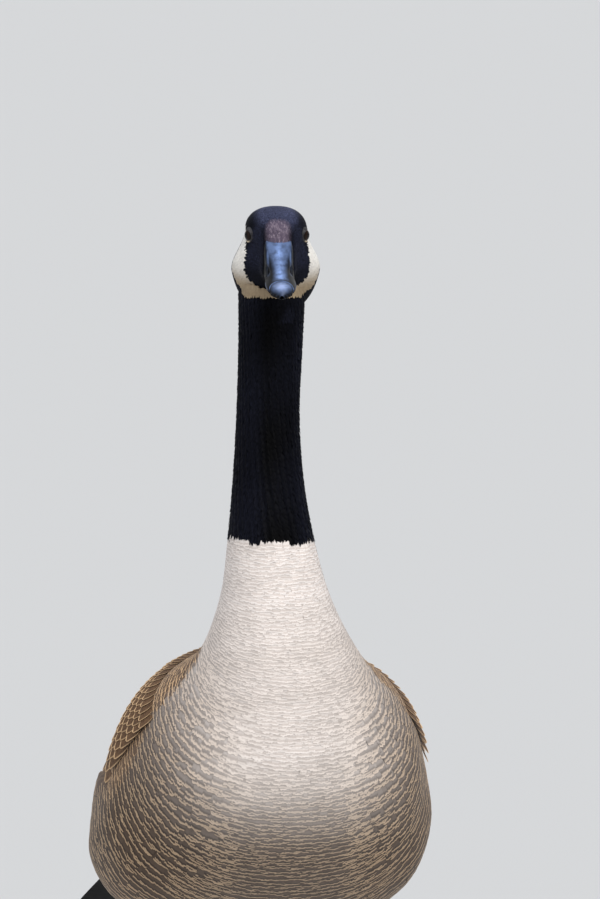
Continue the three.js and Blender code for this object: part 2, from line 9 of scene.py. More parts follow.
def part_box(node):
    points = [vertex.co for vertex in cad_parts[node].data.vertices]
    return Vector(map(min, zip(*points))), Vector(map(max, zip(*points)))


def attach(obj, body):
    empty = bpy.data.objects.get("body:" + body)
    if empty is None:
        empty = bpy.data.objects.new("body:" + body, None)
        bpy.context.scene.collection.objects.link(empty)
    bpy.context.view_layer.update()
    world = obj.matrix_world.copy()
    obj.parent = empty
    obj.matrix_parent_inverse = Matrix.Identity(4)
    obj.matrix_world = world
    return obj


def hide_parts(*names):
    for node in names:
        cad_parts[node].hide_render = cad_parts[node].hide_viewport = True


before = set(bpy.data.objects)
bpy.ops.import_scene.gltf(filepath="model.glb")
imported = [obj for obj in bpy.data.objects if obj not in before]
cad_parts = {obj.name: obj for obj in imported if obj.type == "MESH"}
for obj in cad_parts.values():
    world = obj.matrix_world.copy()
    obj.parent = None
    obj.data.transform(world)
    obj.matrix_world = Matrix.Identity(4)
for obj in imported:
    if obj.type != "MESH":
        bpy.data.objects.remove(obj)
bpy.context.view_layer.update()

# Shapes are worked out in millimetres in the goose's own frame, +Z up, facing -Y, as the solids are. The
# goose stands higher than its sections say, by STAND.
MILLIMETRES = 1000
STAND = 30
EYE_MIDDLE = np.array([-9.0, -152.0, 634.0 + STAND])
EYE_RADIUS = 6.2
EYE_SPACING = 34.4
HEAD_NOD = 11
HEAD_TURN = -7


def table(keys, rows):
    """Rows of sections as one list of numbers for each key."""
    return dict(zip(keys.split(), np.array(rows, float).T))


# Sections of the body from the tail root (0) to the top of the neck (13). y and z place the widest line, and
# lean turns a section's upward direction back. Belly, back and side are its reaches, and shift moves it to
# the side.
SECTION_KEYS = "y z lean belly back side shift"
BODY_ROWS = [
    (201, 166, 26, 22, 22, 38, 0),
    (143, 153.5, 24, 52, 63, 85, 0),
    (76, 166.4, 24, 76, 89, 110, 0),
    (12.4, 184, 24, 94, 106, 121, 0),
    (-51.3, 208.4, 24, 103, 110, 121, 0),
    (-91, 234.7, 33, 103, 104, 113, 0),
    (-125.6, 269.3, 47, 86, 88, 96, 0),
    (-136.8, 313.1, 63, 62, 62, 64, -2),
    (-136.2, 362.4, 77, 46, 44, 42, -6.5),
    (-134.6, 405.2, 85, 37, 35, 32.3, -10.2),
    (-131.5, 450, 90, 31, 28, 26, -12),
    (-130, 500, 90, 27, 26, 22.8, -12),
    (-130, 555, 90, 26.5, 26, 23.2, -10),
    (-131, 605, 90, 27, 27, 24.5, -9),
]
BODY = table(SECTION_KEYS, BODY_ROWS)


def covered(number, back, side):
    """A body section with other reaches above and to the side, as the folded wing covers it."""
    y, z, lean, belly, _, _, shift = BODY_ROWS[number]
    return (y, z, lean, belly, back, side, shift)


# Sections of the folded wings' outer surface. The first three run back over the tail.
WING = table(SECTION_KEYS, [
    (300, 109, 30, 8, 11, 27, 0),
    (245, 142, 28, 18, 27, 48, 0),
    (190, 156, 26, 32, 52, 68, 0),
    covered(1, 71, 87),
    covered(2, 92, 103),
    covered(3, 106, 113),
    covered(4, 110, 117),
    covered(5, 104, 113),
    *BODY_ROWS[6:9],
])
WING_TO_BODY = 2
WING_FRONT = 7.8
WING_REAR_END = 3.1
WING_LOW = 86
WING_LOW_FRONT = 99
WING_HIGH = 163
POCKET_DEPTH = 8
FLANK_BULGE = 4
WALL = 2
# Sections of the head, p forward of the eyes: top, middle and bottom height, crown and cheek half widths.
HEAD = table("p top mid bottom crown cheek", [
    (-43, -3, -17, -36, 13, 14),
    (-38, 7, -10, -52, 18.5, 23),
    (-28, 14.8, -3, -62, 21.8, 31),
    (-15, 17.6, 0, -62, 22.6, 34.5),
    (-3, 17, 0, -52, 22, 31.5),
    (8, 13.4, -1, -41, 17.8, 23),
    (17, 7, -8, -34.5, 14, 15.5),
    (24, 0, -15, -31.5, 11.8, 12.6),
])
# Sections of the upper bill and the lower one: height at the top and bottom, half width at the edge, and how
# boxy the section is, as the power of a superellipse.
BILL_UPPER = table("p top bottom edge boxy", [
    (16, 2.6, -22, 10.4, 9),
    (24, -0.8, -23, 10.7, 8),
    (33, -6.8, -22.8, 10.7, 4),
    (43, -12.2, -22.6, 10.9, 2.1),
    (53, -16.4, -23, 11.1, 1.9),
    (62, -18.8, -24, 10.9, 2.1),
    (69, -20.4, -25.4, 9.6, 2.3),
    (74.5, -22.6, -27.4, 6.8, 2.2),
    (78.4, -26.6, -28.6, 1.2, 2),
])
BILL_LOWER = table("p top bottom edge boxy", [
    (16, -23, -31, 10.4, 2.4),
    (38, -23.1, -30, 10.2, 2.4),
    (52, -23.4, -29.4, 10.2, 2.4),
    (64, -24.8, -29.6, 8.8, 2.4),
    (72, -27.3, -30.4, 5, 2.2),
    (75, -28.6, -30, 1, 2),
])
SIDES = (("left", 1), ("right", -1))
TAIL_LENGTH = 168
TAIL_DROP = 32
TAIL_SPREAD = 21

random = np.random.default_rng(11)
left_low, left_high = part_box("eye_left")[:2]
right_low, right_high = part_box("eye_right")[:2]
ROW_EYE = (left_low + left_high + right_low + right_high) / 4
OFFSET = EYE_MIDDLE - np.array(ROW_EYE) * MILLIMETRES


def to_row(points):
    """Points of the goose's own frame, in millimetres, as metres in the model's frame."""
    return (points - OFFSET) / MILLIMETRES


def mix(a, b, share):
    return a + (b - a) * share


def smooth(value, low, high):
    share = np.clip((value - low) / (high - low), 0, 1)
    return share * share * (3 - 2 * share)


def full(value, power):
    """A power that keeps its sign, which makes a section fuller than an ellipse."""
    return np.sign(value) * np.abs(value) ** power


def between(rows, key, t):
    """A value of a row of sections at place t, on a smooth curve through its neighbours."""
    values = rows[key]
    last = len(values) - 1
    i = np.clip(np.floor(t).astype(int), 0, last - 1)
    f = t - i
    a, b, c, d = (values[np.clip(i + n, 0, last)] for n in (-1, 0, 1, 2))
    return b + 0.5 * f * (c - a + f * (2 * a - 5 * b + 4 * c - d + f * (3 * (b - c) + d - a)))


def unit(vectors):
    return vectors / np.maximum(np.linalg.norm(vectors, axis=-1, keepdims=True), 1e-9)


# Surfaces: each takes sections t and degrees phi, from the belly past the goose's left side, and gives
# points. The powers make a section fuller than an ellipse.
SECTION_SIDE = 0.88
SECTION_RISE = 0.92


def section_point(rows, t, phi, grow=0.0):
    lean = np.radians(between(rows, "lean", t))
    turn = np.radians(phi)
    across = (between(rows, "side", t) + grow) * full(np.sin(turn), SECTION_SIDE)
    up = -full(np.cos(turn), SECTION_RISE)
    reach = np.where(up < 0, between(rows, "belly", t), between(rows, "back", t)) + grow
    rise = up * reach
    x = between(rows, "shift", t) + across
    y = between(rows, "y", t) + rise * np.sin(lean)
    z = STAND + between(rows, "z", t) + rise * np.cos(lean)
    return np.stack([x, y, z], -1)


def wing_low(t):
    """The lower edge of the folded wing, in degrees."""
    forward = np.maximum(t - WING_TO_BODY - 1, 0) / (WING_FRONT - WING_TO_BODY - 1)
    front = mix(WING_LOW, WING_LOW_FRONT, np.minimum(forward, 1))
    return mix(front, 90, smooth(t, WING_FRONT, WING_FRONT + 2.5))


def folded(phi):
    """The same place on the goose's left half."""
    phi = np.mod(phi, 360)
    return np.where(phi > 180, 360 - phi, phi)


def under_wing(t, phi):
    """How far a place of the body lies under the wing, from 0 to 1."""
    edge = wing_low(t + WING_TO_BODY)
    low = smooth(phi, edge - WALL, edge + WALL)
    high = 1 - smooth(phi, WING_HIGH - 14, WING_HIGH + 6)
    end = WING_FRONT - WING_TO_BODY
    front = 1 - smooth(t, end - 0.35, end + 0.15)
    return low * high * front * smooth(t, 0.2, 1)


def flank(t, phi):
    """How far the flank swells below the wing."""
    around = smooth(phi, 40, 62) * (1 - smooth(phi, 80, 98))
    return FLANK_BULGE * around * smooth(t, 0.8, 2) * (1 - smooth(t, 4, 5.2))


def body_point(t, phi):
    place = folded(phi)
    own = section_point(BODY, t, phi, flank(t, place))
    pocket = section_point(WING, t + WING_TO_BODY, phi, -POCKET_DEPTH)
    return mix(own, pocket, under_wing(t, place)[..., None])


def wing_point(t, phi):
    return section_point(WING, t, phi)


def turned(axis, degrees):
    return np.array(Matrix.Rotation(math.radians(degrees), 3, axis))


HEAD_AXES = turned("Z", HEAD_TURN) @ turned("X", HEAD_NOD)


def from_head(points):
    """Points of the head's frame, from midway between the eyes, in the goose's frame."""
    return points @ HEAD_AXES.T + EYE_MIDDLE


def to_head(points):
    return (points - EYE_MIDDLE) @ HEAD_AXES


# Powers that make the crown's round fuller than an ellipse, and the shape of the cheek
CROWN_RISE = 0.86
CROWN_SIDE = 0.88
CHEEK_DROP = 0.9
CHEEK_ROUND = 2.6


def head_point(t, phi):
    turn = np.radians(phi)
    crown, cheek = between(HEAD, "crown", t), between(HEAD, "cheek", t)
    middle = between(HEAD, "mid", t)
    upper = np.cos(turn) < 0
    lift = full(np.maximum(-np.cos(turn), 0), CROWN_RISE)
    down = np.maximum(np.cos(turn), 0) ** CHEEK_DROP
    wide = mix(crown, cheek, smooth(down, 0, 0.5))
    below = wide * np.sign(np.sin(turn)) * np.maximum(1 - down**CHEEK_ROUND, 0) ** (1 / CHEEK_ROUND)
    x = np.where(upper, crown * full(np.sin(turn), CROWN_SIDE), below)
    rise = mix(middle, between(HEAD, "top", t), lift)
    fall = mix(middle, between(HEAD, "bottom", t), down)
    z = np.where(upper, rise, fall)
    return from_head(np.stack([x, -between(HEAD, "p", t), z], -1))


def frame_at(point, t, phi):
    """The place, the outward normal, and the millimetres for one section and for one degree."""
    step_t, step_phi = 0.02, 0.5
    here = point(t, phi)
    along = (point(t + step_t, phi) - point(t - step_t, phi)) / (2 * step_t)
    around = (point(t, phi + step_phi) - point(t, phi - step_phi)) / (2 * step_phi)
    normal = unit(np.cross(around, along))
    return here, normal, np.linalg.norm(along, axis=-1), np.linalg.norm(around, axis=-1)


# Meshes
def new_mesh(name, points, faces):
    """A smooth mesh piece from points in the goose's frame, riding on the one body."""
    data = bpy.data.meshes.new(name)
    points = to_row(points.reshape(-1, 3)).astype(np.float32)
    faces = np.asarray(faces, np.int32)
    sides = faces.shape[1]
    data.vertices.add(len(points))
    data.vertices.foreach_set("co", points.ravel())
    data.loops.add(faces.size)
    data.loops.foreach_set("vertex_index", faces.ravel())
    data.polygons.add(len(faces))
    data.polygons.foreach_set("loop_start", np.arange(len(faces), dtype=np.int32) * sides)
    data.polygons.foreach_set("use_smooth", np.ones(len(faces), bool))
    data.update(calc_edges=True)
    piece = bpy.data.objects.new(name, data)
    bpy.context.scene.collection.objects.link(piece)
    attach(piece, "root")
    return piece


def store(piece, name, values):
    """A vector for each vertex, for the materials."""
    layer = piece.data.attributes.new(name, "FLOAT_VECTOR", "POINT")
    layer.data.foreach_set("vector", values.reshape(-1, 3).astype(np.float32).ravel())


def store_uv(piece, uv):
    """The bake map, from one place for each vertex."""
    layer = piece.data.uv_layers.new(name="OFBake")
    corners = np.zeros(len(piece.data.loops), np.int32)
    piece.data.loops.foreach_get("vertex_index", corners)
    layer.data.foreach_set("uv", uv.reshape(-1, 2)[corners].astype(np.float32).ravel())


def grid_faces(count, rows, columns):
    """The quads of many grids of rows by columns points, one after another."""
    j, i = np.meshgrid(np.arange(rows - 1), np.arange(columns - 1), indexing="ij")
    first = (j * columns + i).ravel()
    quads = np.stack([first, first + 1, first + columns + 1, first + columns], -1)
    starts = np.arange(count) * rows * columns
    return (quads[None] + starts[:, None, None]).reshape(-1, 4)


def ring_faces(rows, columns):
    """The quads of one loft whose rings close on themselves."""
    j, i = np.meshgrid(np.arange(rows - 1), np.arange(columns), indexing="ij")
    first = (j * columns + i).ravel()
    second = (j * columns + (i + 1) % columns).ravel()
    return np.stack([first, second, second + columns, first + columns], -1)


# Markings, as outlines: the white cheek seen from the side, p forward and q up from the eyes, and the height
# and depth where the white breast meets the brown of the shoulder
WHITE_CHEEK = np.array([
    (-9, 3), (-3, -3), (4, -12), (4.8, -20), (3.6, -29), (5, -34), (8, -38),
    (11, -40.4), (24, -41.4), (24, -44.6), (13, -44.8), (4, -46.5), (-2, -45.6), (-5, -42.5),
    (-8, -38.5), (-10.5, -30), (-11.2, -20), (-14.5, -10), (-20, -3), (-19, 1), (-12, 4.5),
], float)
SHOULDER_EDGE = np.array([
    (247, -72), (261, -94), (278, -106), (316, -116), (334, -120),
    (350, -126), (362, -116), (385, -103), (438, -92),
], float)
COLLAR_HEIGHT = 438
HEAD_FROM = 600
# The breast's and the neck's middle lines lie this far to the goose's right.
BREAST_MIDDLE = 4
NECK_MIDDLE = 8
# Where one marking gives way to the next, or where a painted sheen (crown, lores, nape) or a partly painted
# shade (breast_z, chin_q) fades: y back, z up and x to the side on the body, p forward, q up and x to the
# side on the head
FADES = {
    "rump_y": (128, 150), "rump_z": (205, 225), "vent_y": (40, 105), "vent_z": (172, 200),
    "back_z": (232, 262), "shoulder": (-7, 7), "cheek": (-0.6, 0.6),
    "front_y": (-30, 120), "breast_z": (204, 294), "breast_top_z": (350, 430), "breast_x": (34, 112),
    "belly_y": (0, 60), "belly_z": (150, 185),
    "crown_p": (2, 14), "crown_q": (2, 15), "crown_x": (10, 19),
    "forehead_p": (-1, 13), "forehead_q": (-9, 2), "forehead_x": (3, 18),
    "lores_p": (0, 8), "lores_q": (-34, -14), "lores_x": (8, 14),
    "chin_q": (16, 44), "nape_x": (8, 20), "collar_z": (440, 485),
    "bars_x": (24, 84), "far_bars_x": (78, 116), "bars_y": (40, 70),
}


def inside_by(points, polygon):
    """How far points lie inside an outline, in millimetres, negative outside."""
    a, b = polygon, np.roll(polygon, -1, 0)
    edge = b - a
    rel = points[:, None] - a
    share = np.clip((rel * edge).sum(-1) / (edge**2).sum(-1), 0, 1)
    away = np.linalg.norm(rel - share[..., None] * edge, axis=-1).min(1)
    y, low, high = points[:, None, 1], a[:, 1], b[:, 1]
    crosses = (low > y) != (high > y)
    side = a[:, 0] + (y - low) * edge[:, 0] / np.where(edge[:, 1] == 0, 1e-9, edge[:, 1])
    inside = (crosses & (points[:, None, 0] < side)).sum(1) % 2 == 1
    return np.where(inside, away, -away)


def wave(points, size, phase):
    """A smooth, repeatable unevenness from -1 to 1 over the body."""
    x, y, z = (points / size).T
    return (np.sin(x * 2.1 + 1.3 * np.sin(y + phase) + phase) + np.sin(z * 1.7 - 1.1 * x + phase * 2.3)) / 2


def fade(value, name):
    """How far a value is through one of the fades, from 0 to 1."""
    return smooth(value, *FADES[name])


def warmth(points):
    """How far places lie behind the shoulder's edge, in the brown of the back."""
    _, y, z = points.T
    shoulder = np.interp(z, SHOULDER_EDGE[:, 0], SHOULDER_EDGE[:, 1]) + 2 * wave(points, 9, 0.7)
    return fade(y - shoulder + 3 * wave(points, 5, 1.4), "shoulder") * fade(z, "back_z")


def paleness(points):
    """How pale the breast and the belly are. The breast grows darker towards the bottom, partly from browner
    barred feathers and partly as painted shade.
    """
    x, y, z = points.T
    # Darker towards the bottom of the breast: partly browner feathers, partly painted shade
    height = fade(z, "breast_z") * (1 - 0.14 * (1 - fade(z, "breast_top_z")))
    side = 1 - 0.9 * fade(np.abs(x + BREAST_MIDDLE), "breast_x")
    mottle = 0.07 * wave(points * np.array([0.6, 1, 2.2]), 17, 0.4) + 0.05 * wave(points, 31, 1.9)
    breast = (0.08 + 0.86 * fade(-y, "front_y") * height + mottle * height) * side
    return np.maximum(breast, 0.75 * (1 - fade(z, "belly_z")) * fade(y, "belly_y"))


def head_tones(points):
    """The painted blue sheen of the head, on the crown and the lores, and the brown of the forehead and of
    the chin, where it is partly painted shade.
    """
    local = to_head(points)
    beside, p, q = np.abs(local[:, 0]), -local[:, 1], local[:, 2]
    # Painted sheen: bluer where the crown faces up, less towards the bill and the sides, and a little on the
    # lores
    crown = fade(q, "crown_q") * (1 - 0.4 * fade(p, "crown_p")) + 0.12 * wave(points, 9, 0.2)
    crown = crown * (1 - 0.85 * fade(beside, "crown_x"))
    lores = 0.3 * fade(p, "lores_p") * fade(beside, "lores_x") * fade(q, "lores_q")
    forehead = fade(p, "forehead_p") * fade(q, "forehead_q") * (1 - fade(beside, "forehead_x"))
    # The chin's brown is partly painted shade
    return np.maximum(crown, lores), np.maximum(forehead, 0.45 * fade(-q, "chin_q"))


def body_tones(points):
    """The bars below the collar, the faint painted blue sheen above it and the brown at it."""
    x, y, z = points.T
    beside = np.abs(x + BREAST_MIDDLE)
    bars = 0.65 * fade(beside, "bars_x") + 0.35 * fade(beside, "far_bars_x")
    bars = bars * (1 - fade(y, "bars_y")) * (z < COLLAR_HEIGHT)
    # The neck's painted blue sheen, stronger at the sides of the neck
    neck = 0.03 + 0.08 * fade(np.abs(x + NECK_MIDDLE), "nape_x") + 0.04 * wave(points, 22, 0.9)
    return bars, neck * (z > COLLAR_HEIGHT), 0.25 * (1 - fade(z, "collar_z"))


def markings(points):
    """How black, white and pale places of the goose are, and how blue, brown and warm, mostly from 0 to 1.
    On the head and the neck the blue is a painted sheen; below the collar the place of blue tells how
    strongly barred the pale feathers are. Pale falls towards the bottom of the breast, and brown rises
    towards the chin, partly as painted shade."""
    _, y, z = points.T
    on_head = z > HEAD_FROM
    local = to_head(points)
    collar = COLLAR_HEIGHT + 2.2 * wave(points, 14, 1.0) + 0.8 * wave(points, 5, 0.3)
    black = np.maximum(smooth(z, collar - 1, collar + 1), fade(y, "rump_y") * fade(z, "rump_z"))
    cheek = inside_by(np.stack([-local[:, 1], local[:, 2]], -1), WHITE_CHEEK)
    white = fade(cheek + 0.35 * wave(points, 3, 2.0), "cheek") * on_head
    vent = fade(y, "vent_y") * (1 - fade(z, "vent_z")) * (z < HEAD_FROM)
    warm = warmth(points)
    painted_head_sheen, head_brown = head_tones(points)
    bars, painted_neck_sheen, neck_brown = body_tones(points)
    # Painted sheen on the head and the neck, the bars' strength below the collar
    blue = np.maximum(np.where(on_head, painted_head_sheen, bars), painted_neck_sheen)
    brown = np.where(on_head, head_brown, neck_brown)
    mark = np.stack([black * (1 - white), np.maximum(white, vent), paleness(points) * (1 - warm)], -1)
    return mark, np.stack([blue, brown, warm], -1)


# Coats: many small feathers over a surface, in rows across the lie of the coat
def row_places(point, t_range, gap, phi=0.0):
    """Section numbers of rows that keep a gap in millimetres, given for each section, at one angle."""
    places, t = [], t_range[0]
    while t < t_range[1]:
        places.append(t)
        t += gap(t) / frame_at(point, np.array([t]), np.array([phi]))[2][0]
    return np.array(places)


def lattice(point, rows, low, high, spacing):
    """Root places along rows from low to high degrees, each row set half a space off the next."""
    sections, degrees = [], []
    for number, t in enumerate(rows):
        start, end = low(t), high(t)
        if end - start < 1:
            continue
        fine = np.linspace(start, end, 60)
        around = frame_at(point, np.full_like(fine, t), fine)[3]
        length = np.concatenate([[0], np.cumsum((around[1:] + around[:-1]) / 2 * np.diff(fine))])
        places = np.arange((0.25 + 0.5 * (number % 2)) * spacing(t), length[-1], spacing(t))
        degrees.append(np.interp(places, length, fine))
        sections.append(np.full(len(places), t))
    return np.concatenate(sections), np.concatenate(degrees)


def level(value):
    """The same value at every section."""
    return lambda t: value


# Feather shapes: places f along and half widths there, points across, and how ragged, loose, cupped, rolled
# and rounded they are. A furrow is how far they stand up in ridges down the neck. White is 1 where they are
# white whatever the markings at their tips say.
SOFT = {
    "f": (0, 0.5, 0.8, 1), "half": (0.5, 1, 1, 0.95), "columns": 7, "jag": 0.07, "jitter": 0.2,
    "cup": 0.01, "roll": 0.015, "round": 0.03, "furrow": 0.0, "white": 0.0,
}
BROAD = {**SOFT, "half": (0.5, 1, 1, 0.9), "jag": 0.05, "jitter": 0.15, "cup": 0.025, "round": 0.05}
FINE = {
    **SOFT, "f": (0, 0.4, 0.75, 1), "half": (0.6, 1, 0.8, 0.25), "columns": 3, "jag": 0.1, "jitter": 0.35,
}
STREAK = {**FINE, "furrow": 0.5}
WHITE = {**FINE, "white": 1.0}
FURROWS = 34
FURROW_TURN = 8
# How much feathers of one coat differ in length and width, sway to a side and stand up
LENGTH_SPREAD = 0.08
WIDTH_SPREAD = 0.1
SWAY = 0.12
STACKING = 0.02
TUFT_PATCH = 0.0015
CHART_SECTIONS = 16
# The lowest section at which a surface can be measured
FIRST_SECTION = 0.02


def column(values):
    """One number for each feather, to be set against its rows and columns of points."""
    return np.asarray(values, float)[:, None, None]


def coat(name, looks, point, roots, size, shape, chart=0.0):
    """A piece of coat: feathers rooted under the surface whose tips reach it. Looks are a slot name, which
    is not used, and the material; size is the feathers' length, width, root depth and row gap."""
    t, phi = roots
    count = len(t)
    length, width, deep, gap = (np.broadcast_to(np.asarray(value, float), (count,)) for value in size)
    draws = random.uniform(-1, 1, (5, count))
    _, _, along, around = frame_at(point, t, phi)
    t = t + draws[0] * shape["jitter"] * gap / along
    phi = phi + draws[1] * shape["jitter"] * width / around / 2
    columns = shape["columns"]
    f = np.array(shape["f"])[None, :, None]
    s = np.linspace(-1, 1, columns)[None, None, :]
    long = column(length * (1 + LENGTH_SPREAD * draws[2]))
    half = column(width / 2 * (1 + WIDTH_SPREAD * draws[3])) * np.array(shape["half"])[None, :, None]
    jag = random.uniform(-shape["jag"], 0, (count, 1, columns)) * (f == 1)
    reach = f - shape["round"] * f**3 * s**2 + jag
    sway = column(SWAY * draws[4])
    vertex_t = np.maximum(column(t) - reach * long / column(along), FIRST_SECTION)
    vertex_phi = column(phi) + (s * half + sway * reach * long) / column(around)
    on, normal, _, _ = frame_at(point, vertex_t, vertex_phi)
    lift = -column(deep) * (1 - f) ** 2 - half * (shape["cup"] * s**2 * f + shape["roll"] * s)
    lift = lift + STACKING * column(draws[0] * deep) * f
    ridges = np.sin(np.radians(vertex_phi) * FURROWS + on[..., 2] / FURROW_TURN)
    lift = lift + shape["furrow"] * ridges * f
    points = on + normal * lift[..., None]
    piece = new_mesh(name, points, grid_faces(count, len(shape["f"]), columns))
    mark, tone = markings(on[:, -2, columns // 2])
    mark = np.maximum(mark, np.array([0, shape["white"], 0]))
    store(piece, "mark", np.broadcast_to(mark[:, None, None], points.shape))
    store(piece, "tone", np.broadcast_to(tone[:, None, None], points.shape))
    ones = np.ones(points.shape[:3])
    before_tip = (1 - f) * long / column(gap)
    store(piece, "vane", np.stack([s * ones, before_tip * ones, column(draws[2]) * ones], -1))
    corner = np.stack([np.mod(phi / 360, 1), chart + t / CHART_SECTIONS], -1)[:, None, None]
    patch = np.stack([s * ones, (f - 0.5) * 2 * ones], -1) * TUFT_PATCH
    store_uv(piece, np.clip(corner + patch, 0, 1))
    piece.data.materials.append(looks[1])


# Materials
def tree(name):
    """A new material with its node tree and its main shader."""
    material = bpy.data.materials.new(name)
    material.use_nodes = True
    nodes = material.node_tree.nodes
    return material, material.node_tree, nodes["Principled BSDF"]


def node(net, kind, inputs=(), **settings):
    """A node with settings, and values or links for its inputs."""
    made = net.nodes.new(kind)
    for key, value in settings.items():
        setattr(made, key, value)
    for key, value in dict(inputs).items():
        if isinstance(value, bpy.types.NodeSocket):
            net.links.new(value, made.inputs[key])
        else:
            made.inputs[key].default_value = value
    return made


def attribute(net, name):
    """The three parts of a stored vector."""
    found = node(net, "ShaderNodeAttribute", attribute_name=name)
    return node(net, "ShaderNodeSeparateXYZ", {0: found.outputs["Vector"]}).outputs


def blended(net, a, b, share):
    made = node(net, "ShaderNodeMix", data_type="RGBA")
    for socket, value in ((made.inputs[6], a), (made.inputs[7], b), (made.inputs[0], share)):
        if isinstance(value, bpy.types.NodeSocket):
            net.links.new(value, socket)
        else:
            socket.default_value = value
    return made.outputs[2]


def ranged(net, value, low, high, to_low=0.0, to_high=1.0):
    made = node(net, "ShaderNodeMapRange", {0: value, 1: low, 2: high, 3: to_low, 4: to_high})
    made.interpolation_type = "SMOOTHSTEP"
    return made.outputs[0]


def linear(red, green, blue):
    """A display colour from 0 to 255 as the shader's linear one."""
    levels = [c / 255 for c in (red, green, blue)]
    return tuple(c / 12.92 if c <= 0.04045 else ((c + 0.055) / 1.055) ** 2.4 for c in levels) + (1.0,)


def math_node(net, operation, a, b=0.0):
    return node(net, "ShaderNodeMath", {0: a, 1: b}, operation=operation).outputs[0]


def times(net, a, b):
    return math_node(net, "MULTIPLY", a, b)


# How far the lines of one feather lie from those of the next in the grain
BARB_SHIFT = 37.0


def barbs(net, vane, scale_across, scale_along):
    """Fine uneven lines along a vane, from its own coordinates."""
    scales = (scale_across, scale_along, BARB_SHIFT)
    parts = {i: times(net, vane[i], scale) for i, scale in enumerate(scales)}
    place = node(net, "ShaderNodeCombineXYZ", parts).outputs[0]
    return node(net, "ShaderNodeTexNoise", {"Vector": place, "Scale": 1.0, "Detail": 3.0}).outputs[0]


def grained(net, scale, detail=4.0):
    """Uneven grain fixed to the piece."""
    place = node(net, "ShaderNodeTexCoord").outputs["Object"]
    return node(net, "ShaderNodeTexNoise", {"Vector": place, "Scale": scale, "Detail": detail}).outputs[0]


def brightened(net, color, vane, spread):
    """Each feather a little lighter or darker than the next."""
    share = ranged(net, vane[2], -1.0, 1.0, 1 - spread, 1 + spread)
    return node(net, "ShaderNodeHueSaturation", {"Color": color, "Value": share}).outputs[0]


def dressed(net, shader, color, roughness, specular=0.5, bump=None):
    """Gives the shader its colour, roughness and specular level, and its bump: height, strength, depth."""
    net.links.new(color, shader.inputs["Base Color"])
    shader.inputs["Roughness"].default_value = roughness
    shader.inputs["Specular IOR Level"].default_value = specular
    if bump:
        made = node(net, "ShaderNodeBump", dict(zip(("Height", "Strength", "Distance"), bump)))
        net.links.new(made.outputs[0], shader.inputs["Normal"])


# Colours of the pale feathers' tips, middles and darker bands, where they are brown, pale, warm and barred,
# and how much the bars take. The darker band, where the next row's tip lies over a feather, is partly the
# feather's own colour and partly painted shadow of that tip.
PALE_TIP = (172, 147, 118), (250, 242, 237), (226, 186, 142), (200, 166, 128), 0.4
PALE_MIDDLE = (76, 60, 47), (242, 233, 227), (112, 88, 68), (96, 76, 60), 0.3
DARK_BAND_AND_SHADOW = (38, 28, 21), (224, 212, 204), (60, 44, 32), (50, 36, 26), 0.6


def marked(net, colors, mark, tone):
    """One of these colours, by the markings."""
    brown, pale, warm, barred, share = colors
    color = blended(net, linear(*brown), linear(*pale), mark[2])
    color = blended(net, color, linear(*warm), tone[2])
    return blended(net, color, linear(*barred), times(net, tone[0], share))


def pale_plumage():
    """The small feathers of the body, from brown to white, with a darker band, partly painted shadow of the
    next row's tip, and a paler tip.
    """
    material, net, shader = tree("pale_plumage")
    mark, tone, vane = attribute(net, "mark"), attribute(net, "tone"), attribute(net, "vane")
    lines = barbs(net, vane, 5.0, 1.2)
    tip, middle, dark = (marked(net, colors, mark, tone) for colors in (PALE_TIP, PALE_MIDDLE, DARK_BAND_AND_SHADOW))
    narrow = times(net, vane[1], ranged(net, mark[2], 0.0, 0.8, 1.5, 1.0))
    ragged = math_node(net, "ADD", narrow, times(net, lines, 0.4))
    # The darker band just before the next row's tip covers the feather: partly painted shadow of that tip
    band = blended(net, dark, middle, ranged(net, ragged, 0.8, 1.3))
    color = blended(net, band, tip, ranged(net, ragged, 0.4, 0.74, 1.0, 0.0))
    rim = ranged(net, math_node(net, "ABSOLUTE", vane[0]), 0.62, 0.9)
    color = blended(net, color, tip, times(net, rim, times(net, tone[2], 0.35)))
    # White feathers, browner where the second tone says so: towards the chin this is partly a buff tinge,
    # partly painted shade
    white = blended(net, linear(240, 236, 229), linear(158, 139, 112), ranged(net, tone[1], 0.0, 0.45))
    color = brightened(net, blended(net, color, white, ranged(net, mark[1], 0.0, 0.35)), vane, 0.08)
    dressed(net, shader, color, 0.65, 0.2, (lines, 0.25, 0.0004))
    shader.inputs["Sheen Weight"].default_value = 0.08
    shader.inputs["Sheen Roughness"].default_value = 0.5
    return material


def black_plumage():
    """The small black feathers, with a painted blue sheen in streaks, and brown and flecked on the forehead.
    """
    material, net, shader = tree("black_plumage")
    tone, vane = attribute(net, "tone"), attribute(net, "vane")
    lines = barbs(net, vane, 3.0, 1.0)
    # Painted sheen: blue-grey streaks where the sky's reflection is painted on
    streak = times(net, tone[0], ranged(net, lines, 0.35, 0.7, 0.2, 1.0))
    color = blended(net, linear(3, 3, 4), linear(84, 89, 120), streak)
    color = blended(net, color, linear(104, 92, 110), ranged(net, tone[1], 0.45, 1.0, 0.0, 0.8))
    fleck = times(net, ranged(net, tone[1], 0.5, 1.0, 0.0, 0.4), ranged(net, lines, 0.4, 0.62))
    fleck = times(net, fleck, ranged(net, vane[2], -0.4, 0.9, 0.1, 1.0))
    color = brightened(net, blended(net, color, linear(196, 180, 190), fleck), vane, 0.08)
    dressed(net, shader, color, 0.5, 0.04, (lines, 0.3, 0.0004))
    return material


